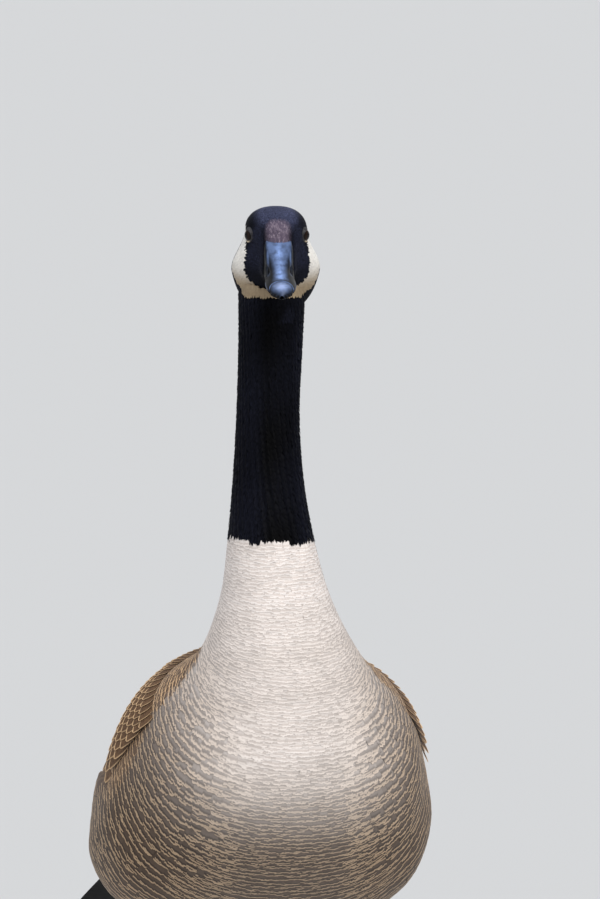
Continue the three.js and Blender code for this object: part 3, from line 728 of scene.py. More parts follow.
def vane_looks(name, middle, dark, edge, edge_width, roughness):
    """A large feather: barbs, a darker shaft line and a paler edge."""
    material, net, shader = tree(name)
    vane = attribute(net, "vane")
    lines = barbs(net, vane, 2.0, 60.0)
    away = math_node(net, "ABSOLUTE", vane[0])
    near_tip = times(net, math_node(net, "SUBTRACT", vane[1], 0.75), 4.0)
    rim = math_node(net, "MAXIMUM", times(net, away, 0.92), near_tip)
    rim = math_node(net, "ADD", rim, times(net, lines, 0.1))
    color = blended(net, linear(*middle), linear(*dark), ranged(net, lines, 0.35, 0.75))
    color = blended(net, color, linear(*edge), ranged(net, rim, 1.02 - edge_width, 1.06))
    shaft = ranged(net, away, 0.02, 0.08, 1.0, 0.0)
    color = blended(net, color, linear(*dark), times(net, shaft, 0.6))
    dressed(net, shader, brightened(net, color, vane, 0.15), roughness, 0.15, (lines, 0.25, 0.0005))
    return material


def claw_looks():
    """Black horn with fine uneven grain."""
    material, net, shader = tree("claws")
    grain = grained(net, 300.0)
    color = blended(net, linear(20, 18, 17), linear(50, 45.6, 43.4), ranged(net, grain, 0.4, 0.8))
    dressed(net, shader, color, 0.3, bump=(grain, 0.4, 0.0003))
    return material


def leg_looks():
    """Dark scaly skin of the legs and webs."""
    material, net, shader = tree("leg_skin")
    place = node(net, "ShaderNodeTexCoord").outputs["Object"]
    cells = node(net, "ShaderNodeTexVoronoi", {"Vector": place, "Scale": 480.0}).outputs["Distance"]
    color = blended(net, linear(52, 48, 46), linear(22, 20, 20), ranged(net, cells, 0.2, 0.65))
    color = blended(net, color, linear(74, 66, 60), ranged(net, grained(net, 160.0), 0.55, 0.8, 0.0, 0.5))
    dressed(net, shader, color, 0.45, bump=(ranged(net, cells, 0.1, 0.6, 1.0, 0.0), 0.6, 0.0005))
    return material


def bill_looks():
    """Glossy black horn, scratched and pitted a little, with a painted blue-grey reflection of the sky on
    its upper faces, painted highlights on the nail and along the mouth's edge, and painted shade in the
    nostrils.
    """
    material, net, shader = tree("bill")
    tone = attribute(net, "tone")
    grain = grained(net, 260.0, 5.0)
    # Painted reflection of the sky: blue-grey where the upper faces look towards it, broken up by the grain
    painted_reflection = times(net, tone[0], ranged(net, grain, 0.3, 0.64, 0.5, 1.0))
    color = blended(net, linear(6, 7, 11), linear(146, 176, 236), painted_reflection)
    # Painted highlights on the nail's dome and along the mouth's edge
    color = blended(net, color, linear(186, 196, 228), tone[1])
    # Painted shade in the nostrils' hollows
    color = blended(net, color, linear(2, 2, 3), ranged(net, tone[2], 0.35, 0.8))
    dressed(net, shader, color, 0.33, 0.16, (grain, 0.2, 0.0003))
    return material


def eye_looks():
    """A dark brown iris round a black pupil, wet and glossy."""
    material, net, shader = tree("eye")
    tone = attribute(net, "tone")
    lines = barbs(net, tone, 3.0, 14.0)
    iris = blended(net, linear(38, 20, 10), linear(18, 10, 7), ranged(net, lines, 0.35, 0.7))
    color = blended(net, linear(4, 3, 3), iris, ranged(net, tone[0], 0.44, 0.52))
    color = blended(net, color, linear(12, 8, 7), ranged(net, tone[0], 0.7, 0.98))
    dressed(net, shader, color, 0.08, 0.16)
    return material


def lid_looks():
    """Dark skin round the eye, with a pale rim below and pale flecks above."""
    material, net, shader = tree("eyelid")
    tone = attribute(net, "tone")
    grain = grained(net, 900.0)
    color = blended(net, linear(16, 15, 18), linear(44, 42, 50), ranged(net, grain, 0.4, 0.7))
    color = blended(net, color, linear(212, 192, 162), tone[0])
    color = blended(net, color, linear(74, 70, 72), times(net, tone[1], ranged(net, grain, 0.4, 0.6)))
    dressed(net, shader, color, 0.6, bump=(grain, 0.5, 0.0003))
    return material


# The two coats' slot names, which nothing reads, and materials
PALE_COAT = ("breast_plumage", pale_plumage())
BLACK_COAT = ("black_plumage", black_plumage())
WING_LOOKS = vane_looks("wing_feathers", (122, 92, 66), (54, 39, 28), (240, 202, 156), 0.26, 0.6)
PRIMARY_LOOKS = vane_looks("primaries", (38, 32, 29), (24, 20, 19), (70, 60, 52), 0.06, 0.5)
TAIL_LOOKS = vane_looks("tail_feathers", (17, 15, 15), (9, 8, 9), (56, 49, 44), 0.1, 0.5)
WHITE_LOOKS = vane_looks("white_coverts", (228, 224, 218), (206, 202, 196), (244, 242, 238), 0.2, 0.7)
CLAW_LOOKS = claw_looks()
LEG_LOOKS = leg_looks()
EYE_LOOKS = eye_looks()
LID_LOOKS = lid_looks()


# Skin: the body, neck, head and thighs as one closed surface under the feathers
HOCK_HEIGHT = 90
HOCK_BACK = 24
STANCE = 50
THIGH = [
    (HOCK_HEIGHT + 4, HOCK_BACK - 2, 6, 8),
    (HOCK_HEIGHT + 12, HOCK_BACK - 6, 12, 16),
    (HOCK_HEIGHT + 24, HOCK_BACK - 14, 19, 27),
    (HOCK_HEIGHT + 66, HOCK_BACK - 20, 24, 34),
]
BODY_SECTIONS = (FIRST_SECTION, 13)
HEAD_SECTIONS = (FIRST_SECTION, 6.98)
THIGH_SECTIONS = (0, 3)
# Rings, and points round each, before the skin is made one
BODY_GRID = (160, 120)
HEAD_GRID = (60, 96)
THIGH_GRID = (12, 40)
SKIN_VOXEL = 0.0024
THIGH_DEPTH = 3.0
BODY_DEPTH = 5.0
NECK_DEPTH = 3.0
HEAD_DEPTH = 1.2


def inset(point, t, phi, depth):
    here, normal, _, _ = frame_at(point, t, phi)
    return here - normal * np.asarray(depth)[..., None]


def capped(rings):
    """A closed loft through rings, with its ends drawn in to their middles."""
    ends = [np.broadcast_to(ring.mean(0), ring.shape) for ring in (rings[0], rings[-1])]
    return np.concatenate([ends[0][None], rings, ends[1][None]])


def coat_depth(t):
    return mix(BODY_DEPTH, NECK_DEPTH, smooth(t, 6.5, 9.5))


def thigh_point(way):
    """A thigh's surface, from its foot (t 0) to inside the body (t 3)."""
    rows = table("z y wide deep", THIGH)

    def point(t, phi):
        turn = np.radians(phi)
        x = way * STANCE + between(rows, "wide", t) * np.sin(turn)
        y = between(rows, "y", t) - between(rows, "deep", t) * np.cos(turn)
        return np.stack([x, y, between(rows, "z", t) + 0 * turn], -1)
    return point


def loft_grid(point, t_range, size, depth):
    rows, columns = size
    t, phi = np.meshgrid(np.linspace(*t_range, rows), np.arange(columns) * 360 / columns, indexing="ij")
    return capped(inset(point, t, phi, depth(t)))


def places_of(parts, key):
    """Points or centres of a mesh, in the goose's frame."""
    found = np.zeros(len(parts) * 3)
    parts.foreach_get(key, found)
    return found.reshape(-1, 3) * MILLIMETRES + OFFSET


def skin():
    lofts = [
        loft_grid(body_point, BODY_SECTIONS, BODY_GRID, coat_depth),
        loft_grid(head_point, HEAD_SECTIONS, HEAD_GRID, level(HEAD_DEPTH)),
    ]
    for _, way in SIDES:
        lofts.append(loft_grid(thigh_point(way), THIGH_SECTIONS, THIGH_GRID, level(THIGH_DEPTH)))
    points, faces, start = [], [], 0
    for grid in lofts:
        rows, columns = grid.shape[:2]
        points.append(grid.reshape(-1, 3))
        faces.append(ring_faces(rows, columns) + start)
        start += rows * columns
    piece = new_mesh("skin", np.concatenate(points), np.concatenate(faces))
    made = remeshed(piece, SKIN_VOXEL, 3)
    place = places_of(made.vertices, "co")
    mark, tone = markings(place)
    store(piece, "mark", mark)
    store(piece, "tone", tone)
    store(piece, "vane", np.stack([0 * place[:, 0], 1 + 0 * place[:, 0], wave(place, 3, 0.5)], -1))
    store_uv(piece, chart_of(place))
    made.materials.append(PALE_COAT[1])
    made.materials.append(BLACK_COAT[1])
    dark = markings(places_of(made.polygons, "center"))[0][:, 0] > 0.5
    made.polygons.foreach_set("material_index", dark.astype(np.int32))
    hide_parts("torso", "neck", "head", "thigh_left", "thigh_right")


CHART_MIDDLE = 60
CHART_HEIGHT = 720


def chart_of(place):
    """A bake place for each skin point: round the body by angle, and up it by height."""
    turn = np.arctan2(place[:, 0], place[:, 1] + CHART_MIDDLE) / (2 * np.pi) + 0.5
    return np.stack([turn, np.clip(place[:, 2] / CHART_HEIGHT, 0, 1)], -1)


# The breast's rows run round the body. On the flanks every second one is left out, and feathers are larger.
BREAST_EDGE = 36
BREAST_END = 124
BREAST_TOP = 6.6
EDGE_WANDER = 8
FLANK_END = 107


def breast_edge(t):
    wander = EDGE_WANDER * np.sin(t * 97) * (1 - smooth(t, 6.9, 7.5))
    return mix(BREAST_EDGE, BREAST_END, smooth(t, 6.7, 7.5)) + wander


def neck_edge(t):
    """Where the small breast feathers end: they reach the nape at the foot of the neck."""
    return np.minimum(180, breast_edge(t) + 64 * smooth(t, 7.2, 8.0))


def flank_start(t):
    """Where the flank's feathers begin, under the last ones of the breast."""
    return np.maximum(mix(BREAST_EDGE, BREAST_END, smooth(t, 7.1, 7.9)) - 16, 0)


def flank_end(t):
    return mix(FLANK_END, BREAST_END, smooth(t, 5.5, 6.5))


def chosen(roots, mask):
    return roots[0][mask], roots[1][mask]


def seen_marks(point, roots, back):
    """The markings where the tips of feathers with these roots show, back millimetres from the root."""
    t, phi = roots
    along = frame_at(point, t, phi)[2]
    return markings(point(np.maximum(t - back / along, FIRST_SECTION), phi))


def open_point(t, phi):
    """The body's own surface, without the hollow under the wing."""
    return section_point(BODY, t, phi, flank(t, folded(phi)))


def body_feathers(name, rows, low, high, spacing, stride):
    """A field of body feathers whose size follows the gap between its rows."""
    roots = lattice(open_point, rows[::stride], low, high, spacing)
    step = np.interp(roots[0], rows[:-1], np.diff(rows)) * stride
    gap = frame_at(open_point, *roots)[2] * step
    mark, tone = seen_marks(open_point, roots, 3 * gap)
    mask = (mark[:, 0] < 0.5) & (tone[:, 2] < 0.5)
    roots, gap = chosen(roots, mask), gap[mask]
    width = np.array([spacing(t) for t in roots[0]]) * 1.8
    depth = np.minimum(coat_depth(roots[0]), 0.3 * gap + 1.2)
    coat(name, PALE_COAT, open_point, roots, (3.4 * gap, width, depth, gap), SOFT)


def mirrored(way, low, high):
    """Edges of a field on the left side, or on the right one."""
    if way == 1:
        return low, high
    return lambda t: -high(t), lambda t: -low(t)


# Fields of small feathers: the degrees at which their rows are measured, the first and last section, the gap
# between rows, the spacing in a row, and the feathers' length, width and root depth
FIELDS = {
    "neck": (0.0, 8.6, 12.8, 2.6, 1.7, 9, 2.6, 2.0),
    "throat": (0.0, 11.4, 12.8, 1.5, 1.2, 4.4, 1.8, 1.0),
    "thigh": (0.0, 0.25, 2.9, 4.5, 5, 13, 8, 3.0),
    "mantle": (120.0, 4.6, 9.4, 4.2, 5.4, 18, 10.5, 3.0),
    "back": (180.0, 0.1, 5.9, 6, 6, 24, 11, 4.5),
    "head": (180.0, 0.05, 6.95, 1.5, 1.35, 4.8, 2.2, 0.9),
}
HEAD_CHART = 0.85


def field(name, point, low=level(0), high=level(360)):
    """The roots of one field and the size of its feathers."""
    phi, start, end, gap, spacing, *size = FIELDS[name]
    rows = row_places(point, (start, end), level(gap), phi)
    return lattice(point, rows, low, high, level(spacing)), (*size, gap)


def neck_coats():
    """The black streaks of the neck and the white feathers of the throat."""
    roots, size = field("neck", body_point)
    black = seen_marks(body_point, roots, np.where(roots[0] > 11, 5.5, 8.5))[0][:, 0] >= 0.5
    coat("neck_coat", BLACK_COAT, body_point, chosen(roots, black), size, STREAK)
    roots, size = field("throat", body_point)
    white = seen_marks(body_point, roots, 4)[0][:, 1] > 0.5
    coat("throat_coat", PALE_COAT, body_point, chosen(roots, white), size, WHITE)


def breast_gap(t):
    return mix(5.6, 3.0, smooth(t, 2, 8))


def close_spacing(t):
    return 0.85 * breast_gap(t)


def wide_spacing(t):
    return 1.2 * breast_gap(t)


def breast_coats():
    """The feathers of the breast, belly and flanks, and those of the thighs."""
    rows = row_places(body_point, (0.3, 9.6), breast_gap)
    low, high = rows[rows < BREAST_TOP], rows[rows >= BREAST_TOP]
    body_feathers("breast_coat", low, lambda t: -breast_edge(t), breast_edge, close_spacing, 1)
    body_feathers("foreneck_coat", high, lambda t: -neck_edge(t), neck_edge, close_spacing, 1)
    for side, way in SIDES:
        body_feathers(f"flank_coat_{side}", rows, *mirrored(way, flank_start, flank_end), wide_spacing, 2)
        point = thigh_point(way)
        coat(f"thigh_coat_{side}", PALE_COAT, point, *field("thigh", point), BROAD)


def back_edge(t):
    """Where the back's feathers begin, beside the folded wing."""
    return mix(112, 154, smooth(t, 2.4, 3.8))


def brown_coats():
    """The brown feathers of the mantle and of the back between the wings, and the black ones of the rump."""
    for side, way in SIDES:
        roots, size = field("mantle", open_point, *mirrored(way, level(84), level(180)))
        mark, tone = seen_marks(open_point, roots, 14)
        roots = chosen(roots, (tone[:, 2] >= 0.4) & (mark[:, 0] < 0.5))
        coat(f"mantle_coat_{side}", PALE_COAT, open_point, roots, size, BROAD)
    roots, size = field("back", body_point, back_edge, lambda t: 360 - back_edge(t))
    dark = seen_marks(body_point, roots, 18)[0][:, 0] > 0.5
    coat("back_coat", PALE_COAT, body_point, chosen(roots, ~dark), size, BROAD)
    coat("rump_coat", BLACK_COAT, body_point, chosen(roots, dark), size, BROAD)


def head_coats():
    roots, (length, width, depth, gap) = field("head", head_point)
    white = seen_marks(head_point, roots, 3)[0][:, 1] > 0.5
    for name, looks, mask, shape in (
        ("head_coat", BLACK_COAT, ~white, FINE),
        ("cheek_coat", PALE_COAT, white, WHITE),
    ):
        part = chosen(roots, mask)
        size = mix(1.0, 0.6, smooth(part[0], 3.5, 6.8))
        coat(name, looks, head_point, part, (length * size, width * size, depth, gap), shape, HEAD_CHART)


# The bill, eyes and lids, in the head's frame
NOSTRIL = {"p": 41.5, "q": -16.6, "length": 4.6, "height": 1.5, "slope": 24, "deep": 2.4}
NAIL = {"p": 72.5, "long": 8.6, "wide": 8.2, "rise": 0.8}
TOMIUM = {"first": 30, "last": 66, "teeth": 24, "deep": 0.22}
# The direction towards the sky whose reflection is painted on the bill
SKY_REFLECTION_FROM = (0.05, -0.62, 0.78)
# How far to the sides the painted reflection of the sky reaches at places forward of the eyes
SKY_REFLECTION_EDGE = np.array([(16, 10.5), (26, 9.5), (36, 6), (46, 4.6), (56, 4.4), (63, 5.5), (68, 7.5), (78, 8)])
BILL_ROWS = 220
BILL_COLUMNS = 121
INNER_WIDTH = 0.96


def bill_section(rows, t, turn, way):
    """Points of a bill's half. Turn runs from 0 at its right edge over the ridge to pi at its left one."""
    edge, power = between(rows, "edge", t), between(rows, "boxy", t)
    across = -edge * full(np.cos(turn), 2 / power)
    rise = np.sin(turn) ** (2 / power)
    low, high = ("bottom", "top") if way == 1 else ("top", "bottom")
    height = mix(between(rows, low, t), between(rows, high, t), rise)
    return np.stack([across, -between(rows, "p", t), height], -1)


def nostril_depth(points):
    """How deep the nostril's hollow is at places of the bill's side, and how much painted shade each place
    takes.
    """
    slope = math.radians(NOSTRIL["slope"])
    ahead = -points[..., 1] - NOSTRIL["p"]
    above = points[..., 2] - NOSTRIL["q"]
    along = (ahead * math.cos(slope) - above * math.sin(slope)) / NOSTRIL["length"]
    over = (above * math.cos(slope) + ahead * math.sin(slope)) / NOSTRIL["height"]
    hole = np.exp(-(along**4 + over**4))
    dish = np.exp(-((along / 1.9) ** 2 + (over / 2.6) ** 2))
    return NOSTRIL["deep"] * hole + 0.9 * dish, np.maximum(hole, dish * 0.8)


def nail_distance(points):
    """How far places are from the middle of the nail at the bill's tip, 1 at its edge."""
    return np.hypot((-points[..., 1] - NAIL["p"]) / NAIL["long"], points[..., 0] / NAIL["wide"])


def nail_rise(points):
    """How far the nail stands up, with a fine groove round it."""
    away = nail_distance(points)
    groove = 0.45 * np.exp(-(((away - 1.02) / 0.07) ** 2))
    return NAIL["rise"] * np.sqrt(np.maximum(1 - away**2, 0)) - groove


def grid_normals(points):
    """Outward normals of a grid of points."""
    return unit(np.cross(np.gradient(points, axis=1), np.gradient(points, axis=0)))


def mouth_teeth(ahead, above):
    """How far the fine comb along the mouth's edge stands out."""
    turns = (ahead - TOMIUM["first"]) * TOMIUM["teeth"] / (TOMIUM["last"] - TOMIUM["first"])
    comb = np.sin(2 * math.pi * turns) * smooth(ahead, 28, 34)
    return TOMIUM["deep"] * comb * (1 - smooth(above, 0.5, 2))


def ridge_reflection(ahead, across, up):
    """How strongly the painted reflection of the sky shows on the bill's upper faces, by where they face: on
    the ridge, and in a line beside it.
    """
    limit = np.interp(ahead, SKY_REFLECTION_EDGE[:, 0], SKY_REFLECTION_EDGE[:, 1])
    ridge = np.exp(-((across / 2.4) ** 2)) * smooth(ahead, 18, 34)
    painted_reflection = smooth(up, 0.35, 0.97) * (1 - smooth(across, limit - 2, limit + 2)) * mix(0.36, 0.95, ridge)
    beside = 0.4 * np.exp(-(((across - 8.2) / 0.8) ** 2)) * smooth(ahead, 24, 32)
    return np.maximum(painted_reflection, beside * (1 - smooth(ahead, 46, 52)))


def mouth_highlight(ahead, above):
    """A painted highlight: the pale line along the mouth's edge towards the tip."""
    line = 0.3 * np.exp(-(((above - 0.8) / 0.4) ** 2))
    return line * smooth(ahead, 52, 58) * (1 - smooth(ahead, 66, 71))


def nail_tones(points, world, up, painted_reflection, rim):
    """The painted reflection and the painted highlights, with the painted shine of the nail's dome and of
    the arc behind it.
    """
    away = nail_distance(points)
    dome = 0.8 * smooth(world[..., 2], 0.0, 0.8) * np.exp(-((away / 0.75) ** 2))
    arc = 0.5 * np.exp(-(((away - 1.12) / 0.05) ** 2)) * smooth(up, 0.5, 0.9)
    painted_reflection = mix(np.maximum(painted_reflection * smooth(away, 1.1, 1.7), arc), dome, 1 - smooth(away, 0.96, 1.02))
    return painted_reflection, np.maximum(rim, 0.6 * dome**2)


def bill_piece(name, rows, way):
    """The upper bill, way 1, with nostrils, nail and a comb at its edge, or the plain lower one, way -1."""
    sections = np.linspace(0, len(rows["p"]) - 1, BILL_ROWS)
    t, turn = np.meshgrid(sections, np.linspace(0, math.pi, BILL_COLUMNS), indexing="ij")
    points = bill_section(rows, t, turn, way)
    edge = between(rows, "bottom", t)
    ahead = -points[..., 1]
    hollow = rim = np.zeros_like(ahead)
    if way == 1:
        # The second value also paints shade into the nostrils
        deep, hollow = nostril_depth(points)
        shift = nail_rise(points) - deep * smooth(np.abs(points[..., 0]), 3, 6)
        shift = shift + mouth_teeth(ahead, points[..., 2] - edge)
        points = points - grid_normals(points) * shift[..., None]
    world = -way * grid_normals(points) @ HEAD_AXES.T
    up = world @ unit(np.array(SKY_REFLECTION_FROM))
    painted_reflection = ridge_reflection(ahead, np.abs(points[..., 0]), up) * (1 - hollow)
    if way == 1:
        painted_reflection, rim = nail_tones(points, world, up, painted_reflection, mouth_highlight(ahead, points[..., 2] - edge))
    inner = points[:, ::-1] * np.array([INNER_WIDTH, 1, 1])
    inner[..., 2] = points[:, :1, 2]
    whole = np.concatenate([points, inner], 1)
    # Painted light for the bill: the sky's reflection, highlights on the nail and the mouth's edge, and
    # shade in the nostrils
    tone = np.stack([painted_reflection, rim, hollow], -1)
    piece = new_mesh(name, from_head(whole), ring_faces(*whole.shape[:2]))
    store(piece, "tone", np.concatenate([tone, 0 * tone], 1))
    piece.data.materials.append(bill_looks())
    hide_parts(name)


# The eyes: how far they are turned forward, half the opening's width and height in degrees, and the steps of
# a lid, as degrees past the opening and distance from the eye's middle
EYE_TURN = 12
EYE_OPENING = (60, 39)
LID_STEPS = ((0, 6.1), (1.5, 6.55), (4, 6.85), (10, 7.0), (22, 6.95), (45, 6.3))
LID_REACH = 106
CORNEA = {"rise": 0.45, "reach": 34}
EYE_REACH = 130
EYE_RINGS = 66
EYE_COLUMNS = 72
LID_COLUMNS = 96


def eye_axes(way):
    """The directions out of an eye, forward and up, as rows."""
    turn = math.radians(EYE_TURN)
    out = np.array([way * math.cos(turn), -math.sin(turn), 0])
    fore = np.array([-way * math.sin(turn), -math.cos(turn), 0])
    return np.stack([out, fore, np.array([0, 0, 1])])


def polar(way, away, turn, radius):
    """Points round an eye: away from its axis and turned from forward, in degrees."""
    away, turn = np.radians(away), np.radians(turn)
    flat = np.stack([np.cos(away), np.sin(away) * np.cos(turn), np.sin(away) * np.sin(turn)], -1)
    points = (flat * radius[..., None]) @ eye_axes(way)
    return from_head(points + np.array([way * EYE_SPACING / 2, 0, 0]))


def eye(side, way):
    turns = np.arange(EYE_COLUMNS) * 360 / EYE_COLUMNS
    away, turn = np.meshgrid(np.linspace(0, EYE_REACH, EYE_RINGS), turns, indexing="ij")
    radius = EYE_RADIUS - 0.05 + CORNEA["rise"] * np.exp(-((away / CORNEA["reach"]) ** 2))
    piece = new_mesh(f"eyeball_{side}", polar(way, away, turn, radius), ring_faces(*away.shape))
    store(piece, "tone", np.stack([away / 60, np.sin(np.radians(turn)), np.cos(np.radians(turn))], -1))
    piece.data.materials.append(EYE_LOOKS)
    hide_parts(f"eye_{side}")


def lids(side, way):
    turn = np.arange(LID_COLUMNS) * 360 / LID_COLUMNS
    wide, high = EYE_OPENING
    opening = 1 / np.hypot(np.cos(np.radians(turn)) / wide, np.sin(np.radians(turn)) / high)
    rise = np.sin(np.radians(turn))
    away = np.stack([np.minimum(opening + more, LID_REACH) for more, _ in LID_STEPS])
    radius = np.stack([np.full_like(turn, reach) for _, reach in LID_STEPS])
    points = polar(way, away, np.broadcast_to(turn, away.shape), radius)
    piece = new_mesh(f"eyelid_{side}", points, ring_faces(*away.shape))
    step = np.arange(len(LID_STEPS))[:, None]
    rim = ((step == 1) | (step == 2)) * smooth(-rise, 0.45, 0.85)
    above = (step == 3) * smooth(rise, 0.3, 0.7)
    store(piece, "tone", np.stack([rim, above, 0 * rim], -1))
    piece.data.materials.append(LID_LOOKS)


def face():
    bill_piece("bill_upper", BILL_UPPER, 1)
    bill_piece("bill_lower", BILL_LOWER, -1)
    for side, way in SIDES:
        eye(side, way)
        lids(side, way)


# Legs: the solids' legs and feet made smooth, with their own claws
LEG_VOXEL = 0.0011
# Claws: the toes' directions, lengths and thicknesses are the solids'
FOOT_BACK = 2
FOOT_TURN = 9
TOE_LENGTH = 80
TOES = ((27, 0.84, 4.2), (0, 1, 4.6), (-25, 0.95, 4.4))
CLAW_BASE = -3
CLAW_TIP = 8.4
CLAW_RINGS = 14
CLAW_COLUMNS = 16


def claw_grid(turn, length, thick):
    """Rings of one claw round its toe's end, narrowing and curving down to a point near the floor."""
    angles = np.radians(np.arange(CLAW_COLUMNS) * 360 / CLAW_COLUMNS)
    u, angle = np.meshgrid(np.linspace(0, 1, CLAW_RINGS), angles, indexing="ij")
    wide = 0.6 * thick * (1 - u**1.7) + 0.15
    top = 1.1 * thick * (1 - u**1.9) + 0.5
    bottom = 0.15 + 0.1 * u
    ahead = length * TOE_LENGTH + mix(CLAW_BASE, CLAW_TIP, u)
    x = wide * np.cos(angle)
    z = (top + bottom) / 2 + (top - bottom) / 2 * np.sin(angle)
    return np.stack([x, -ahead, z], -1) @ turned("Z", turn).T


def claws():
    for side, way in SIDES:
        rings = np.stack([claw_grid(*toe) for toe in TOES]) * np.array([way, 1, 1])
        points = rings @ turned("Z", way * FOOT_TURN).T + np.array([way * STANCE, FOOT_BACK, 0])
        rows, columns = points.shape[1:3]
        one = ring_faces(rows, columns)
        faces = np.concatenate([one + number * rows * columns for number in range(len(TOES))])
        piece = new_mesh(f"claws_{side}", points, faces)
        piece.data.materials.append(CLAW_LOOKS)


def solid_mesh(name):
    """The points, in the goose's frame, and the triangles of a solid."""
    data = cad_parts[name].data
    data.calc_loop_triangles()
    faces = np.zeros(len(data.loop_triangles) * 3, np.int32)
    data.loop_triangles.foreach_get("vertices", faces)
    return places_of(data.vertices, "co"), faces.reshape(-1, 3)


def remeshed(piece, voxel, rounds):
    """The piece as one smooth closed surface."""
    remesh = piece.modifiers.new("remesh", "REMESH")
    remesh.mode = "VOXEL"
    remesh.voxel_size = voxel
    remesh.use_smooth_shade = True
    relax = piece.modifiers.new("relax", "SMOOTH")
    relax.iterations = rounds
    graph = bpy.context.evaluated_depsgraph_get()
    made = bpy.data.meshes.new_from_object(piece.evaluated_get(graph))
    piece.modifiers.clear()
    piece.data = made
    made.polygons.foreach_set("use_smooth", np.ones(len(made.polygons), bool))
    made.materials.clear()
    return made


def legs():
    for side, _ in SIDES:
        shank, shank_faces = solid_mesh(f"leg_{side}")
        foot, foot_faces = solid_mesh(f"foot_{side}")
        points = np.concatenate([shank, foot])
        faces = np.concatenate([shank_faces, foot_faces + len(shank)])
        piece = new_mesh(f"smooth_leg_{side}", points, faces)
        remeshed(piece, LEG_VOXEL, 4).materials.append(LEG_LOOKS)
        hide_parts(f"leg_{side}", f"foot_{side}")


# Wings: tiers of vanes like shingles. Their roots run from low to high degrees above the wing's lower edge,
# and from one section to another. First and last are the lengths of the lowest and the highest vane, rise is
# how far the tip of the first one stands off the wing, and stack is what each next one adds.
TIER_KEYS = "count low high from to first last width rise stack"
TIERS = {
    "primaries": (8, 5, 31, 4.3, 3.9, 238, 184, 20, 2, 0.9),
    "secondaries": (9, 6, 50, 5.4, 4.9, 118, 172, 27, 3.4, 0.35),
    "greater_coverts": (10, 5, 50, 6.3, 6.0, 68, 84, 24, 4.2, 0),
    "median_coverts_1": (11, 4, 50, 6.7, 6.4, 44, 52, 20, 4.4, 0),
    "median_coverts_2": (11, 4, 49, 7.0, 6.7, 36, 42, 18, 4.4, 0),
    "lesser_coverts_1": (12, 3, 48, 7.25, 6.98, 30, 35, 16, 4.3, 0),
    "lesser_coverts_2": (12, 3, 47, 7.47, 7.22, 26, 31, 15, 4.1, 0),
    "lesser_coverts_3": (12, 2, 46, 7.67, 7.44, 24, 28, 14, 3.8, 0),
    "lesser_coverts_4": (12, 2, 45, 7.85, 7.64, 22, 26, 13, 3.4, 0),
    "lesser_coverts_5": (11, 1, 44, 8.0, 7.82, 20, 24, 12, 2.8, 0),
    "scapulars_1": (5, 60, 76, 5.2, 5.0, 112, 128, 24, 5.2, 0),
    "scapulars_2": (5, 57, 73, 5.75, 5.55, 78, 86, 23, 5.8, 0),
    "scapulars_3": (6, 54, 71, 6.25, 6.05, 64, 72, 21, 6.0, 0),
    "scapulars_4": (6, 52, 69, 6.65, 6.45, 50, 58, 19, 5.8, 0),
    "scapulars_5": (6, 50, 67, 7.0, 6.82, 42, 46, 17, 5.4, 0),
    "scapulars_6": (6, 49, 65, 7.3, 7.14, 34, 38, 15, 4.8, 0),
    "scapulars_7": (6, 47, 63, 7.58, 7.42, 30, 34, 14, 4.2, 0),
    "scapulars_8": (6, 46, 61, 7.84, 7.7, 26, 30, 13, 3.4, 0),
}
SECTION_LENGTH = 66
# Places along a vane, and half widths there, for wing feathers, the rounder primaries and the tail
VANE_F = np.array([0, 0.1, 0.22, 0.36, 0.5, 0.62, 0.73, 0.82, 0.89, 0.945, 0.98, 1.0])
VANE_HALF = np.array([0.5, 0.74, 0.9, 0.98, 1.0, 1.0, 0.99, 0.97, 0.94, 0.88, 0.79, 0.66])
ROUND_HALF = np.array([0.08, 0.5, 0.82, 0.97, 1.0, 1.0, 0.97, 0.9, 0.79, 0.63, 0.44, 0.22])
TAIL_HALF = np.array([0.5, 0.74, 0.9, 0.98, 1.0, 1.0, 1.0, 1.0, 0.98, 0.92, 0.76, 0.42])
VANE_COLUMNS = 9
VANE_ROUND = 0.03
SHADE_SPREAD = 0.5


def vane_places():
    """Places along vanes and across them, and how far each reaches to a rounded tip."""
    f = VANE_F[None, :, None]
    s = np.linspace(-1, 1, VANE_COLUMNS)[None, None, :]
    return f, s, f - VANE_ROUND * f * np.abs(s)


def vane_grid(root, middle, length, width, outline, tip_lift):
    """Points of large vanes on the wing, with a shaft ridge and a slight camber."""
    f, s, reach = vane_places()
    t = column(root) - reach * column(length) / SECTION_LENGTH
    halfway = np.maximum(root - 0.5 * length / SECTION_LENGTH, FIRST_SECTION)
    around = frame_at(wing_point, halfway, middle)[3]
    half = width / 2 * outline[None, :, None]
    phi = column(middle) + s * half / column(around)
    on, normal, _, _ = frame_at(wing_point, np.maximum(t, FIRST_SECTION), phi)
    ridge = 0.5 * np.exp(-((s / 0.12) ** 2)) * (1 - f)
    lift = mix(-1.0, column(tip_lift), f) - s - 0.05 * half * s**2 + ridge
    return on + normal * lift[..., None]


def vane_piece(name, points, looks):
    """A piece of large vanes, each with its own coordinates, shade and cell of the bake map."""
    count = len(points)
    piece = new_mesh(name, points, grid_faces(count, len(VANE_F), VANE_COLUMNS))
    f, s, _ = vane_places()
    ones = np.ones(points.shape[:3])
    shade = column(SHADE_SPREAD * random.uniform(-1, 1, count))
    store(piece, "vane", np.stack([s * ones, f * ones, shade * ones], -1))
    side = math.ceil(math.sqrt(count))
    number = np.arange(count)
    corner = np.stack([number % side, number // side], -1)[:, None, None]
    inside = np.stack([(s + 1) / 2 * ones, f * ones], -1) * 0.9 + 0.05
    store_uv(piece, (corner + inside) / side)
    piece.data.materials.append(looks)
    return piece


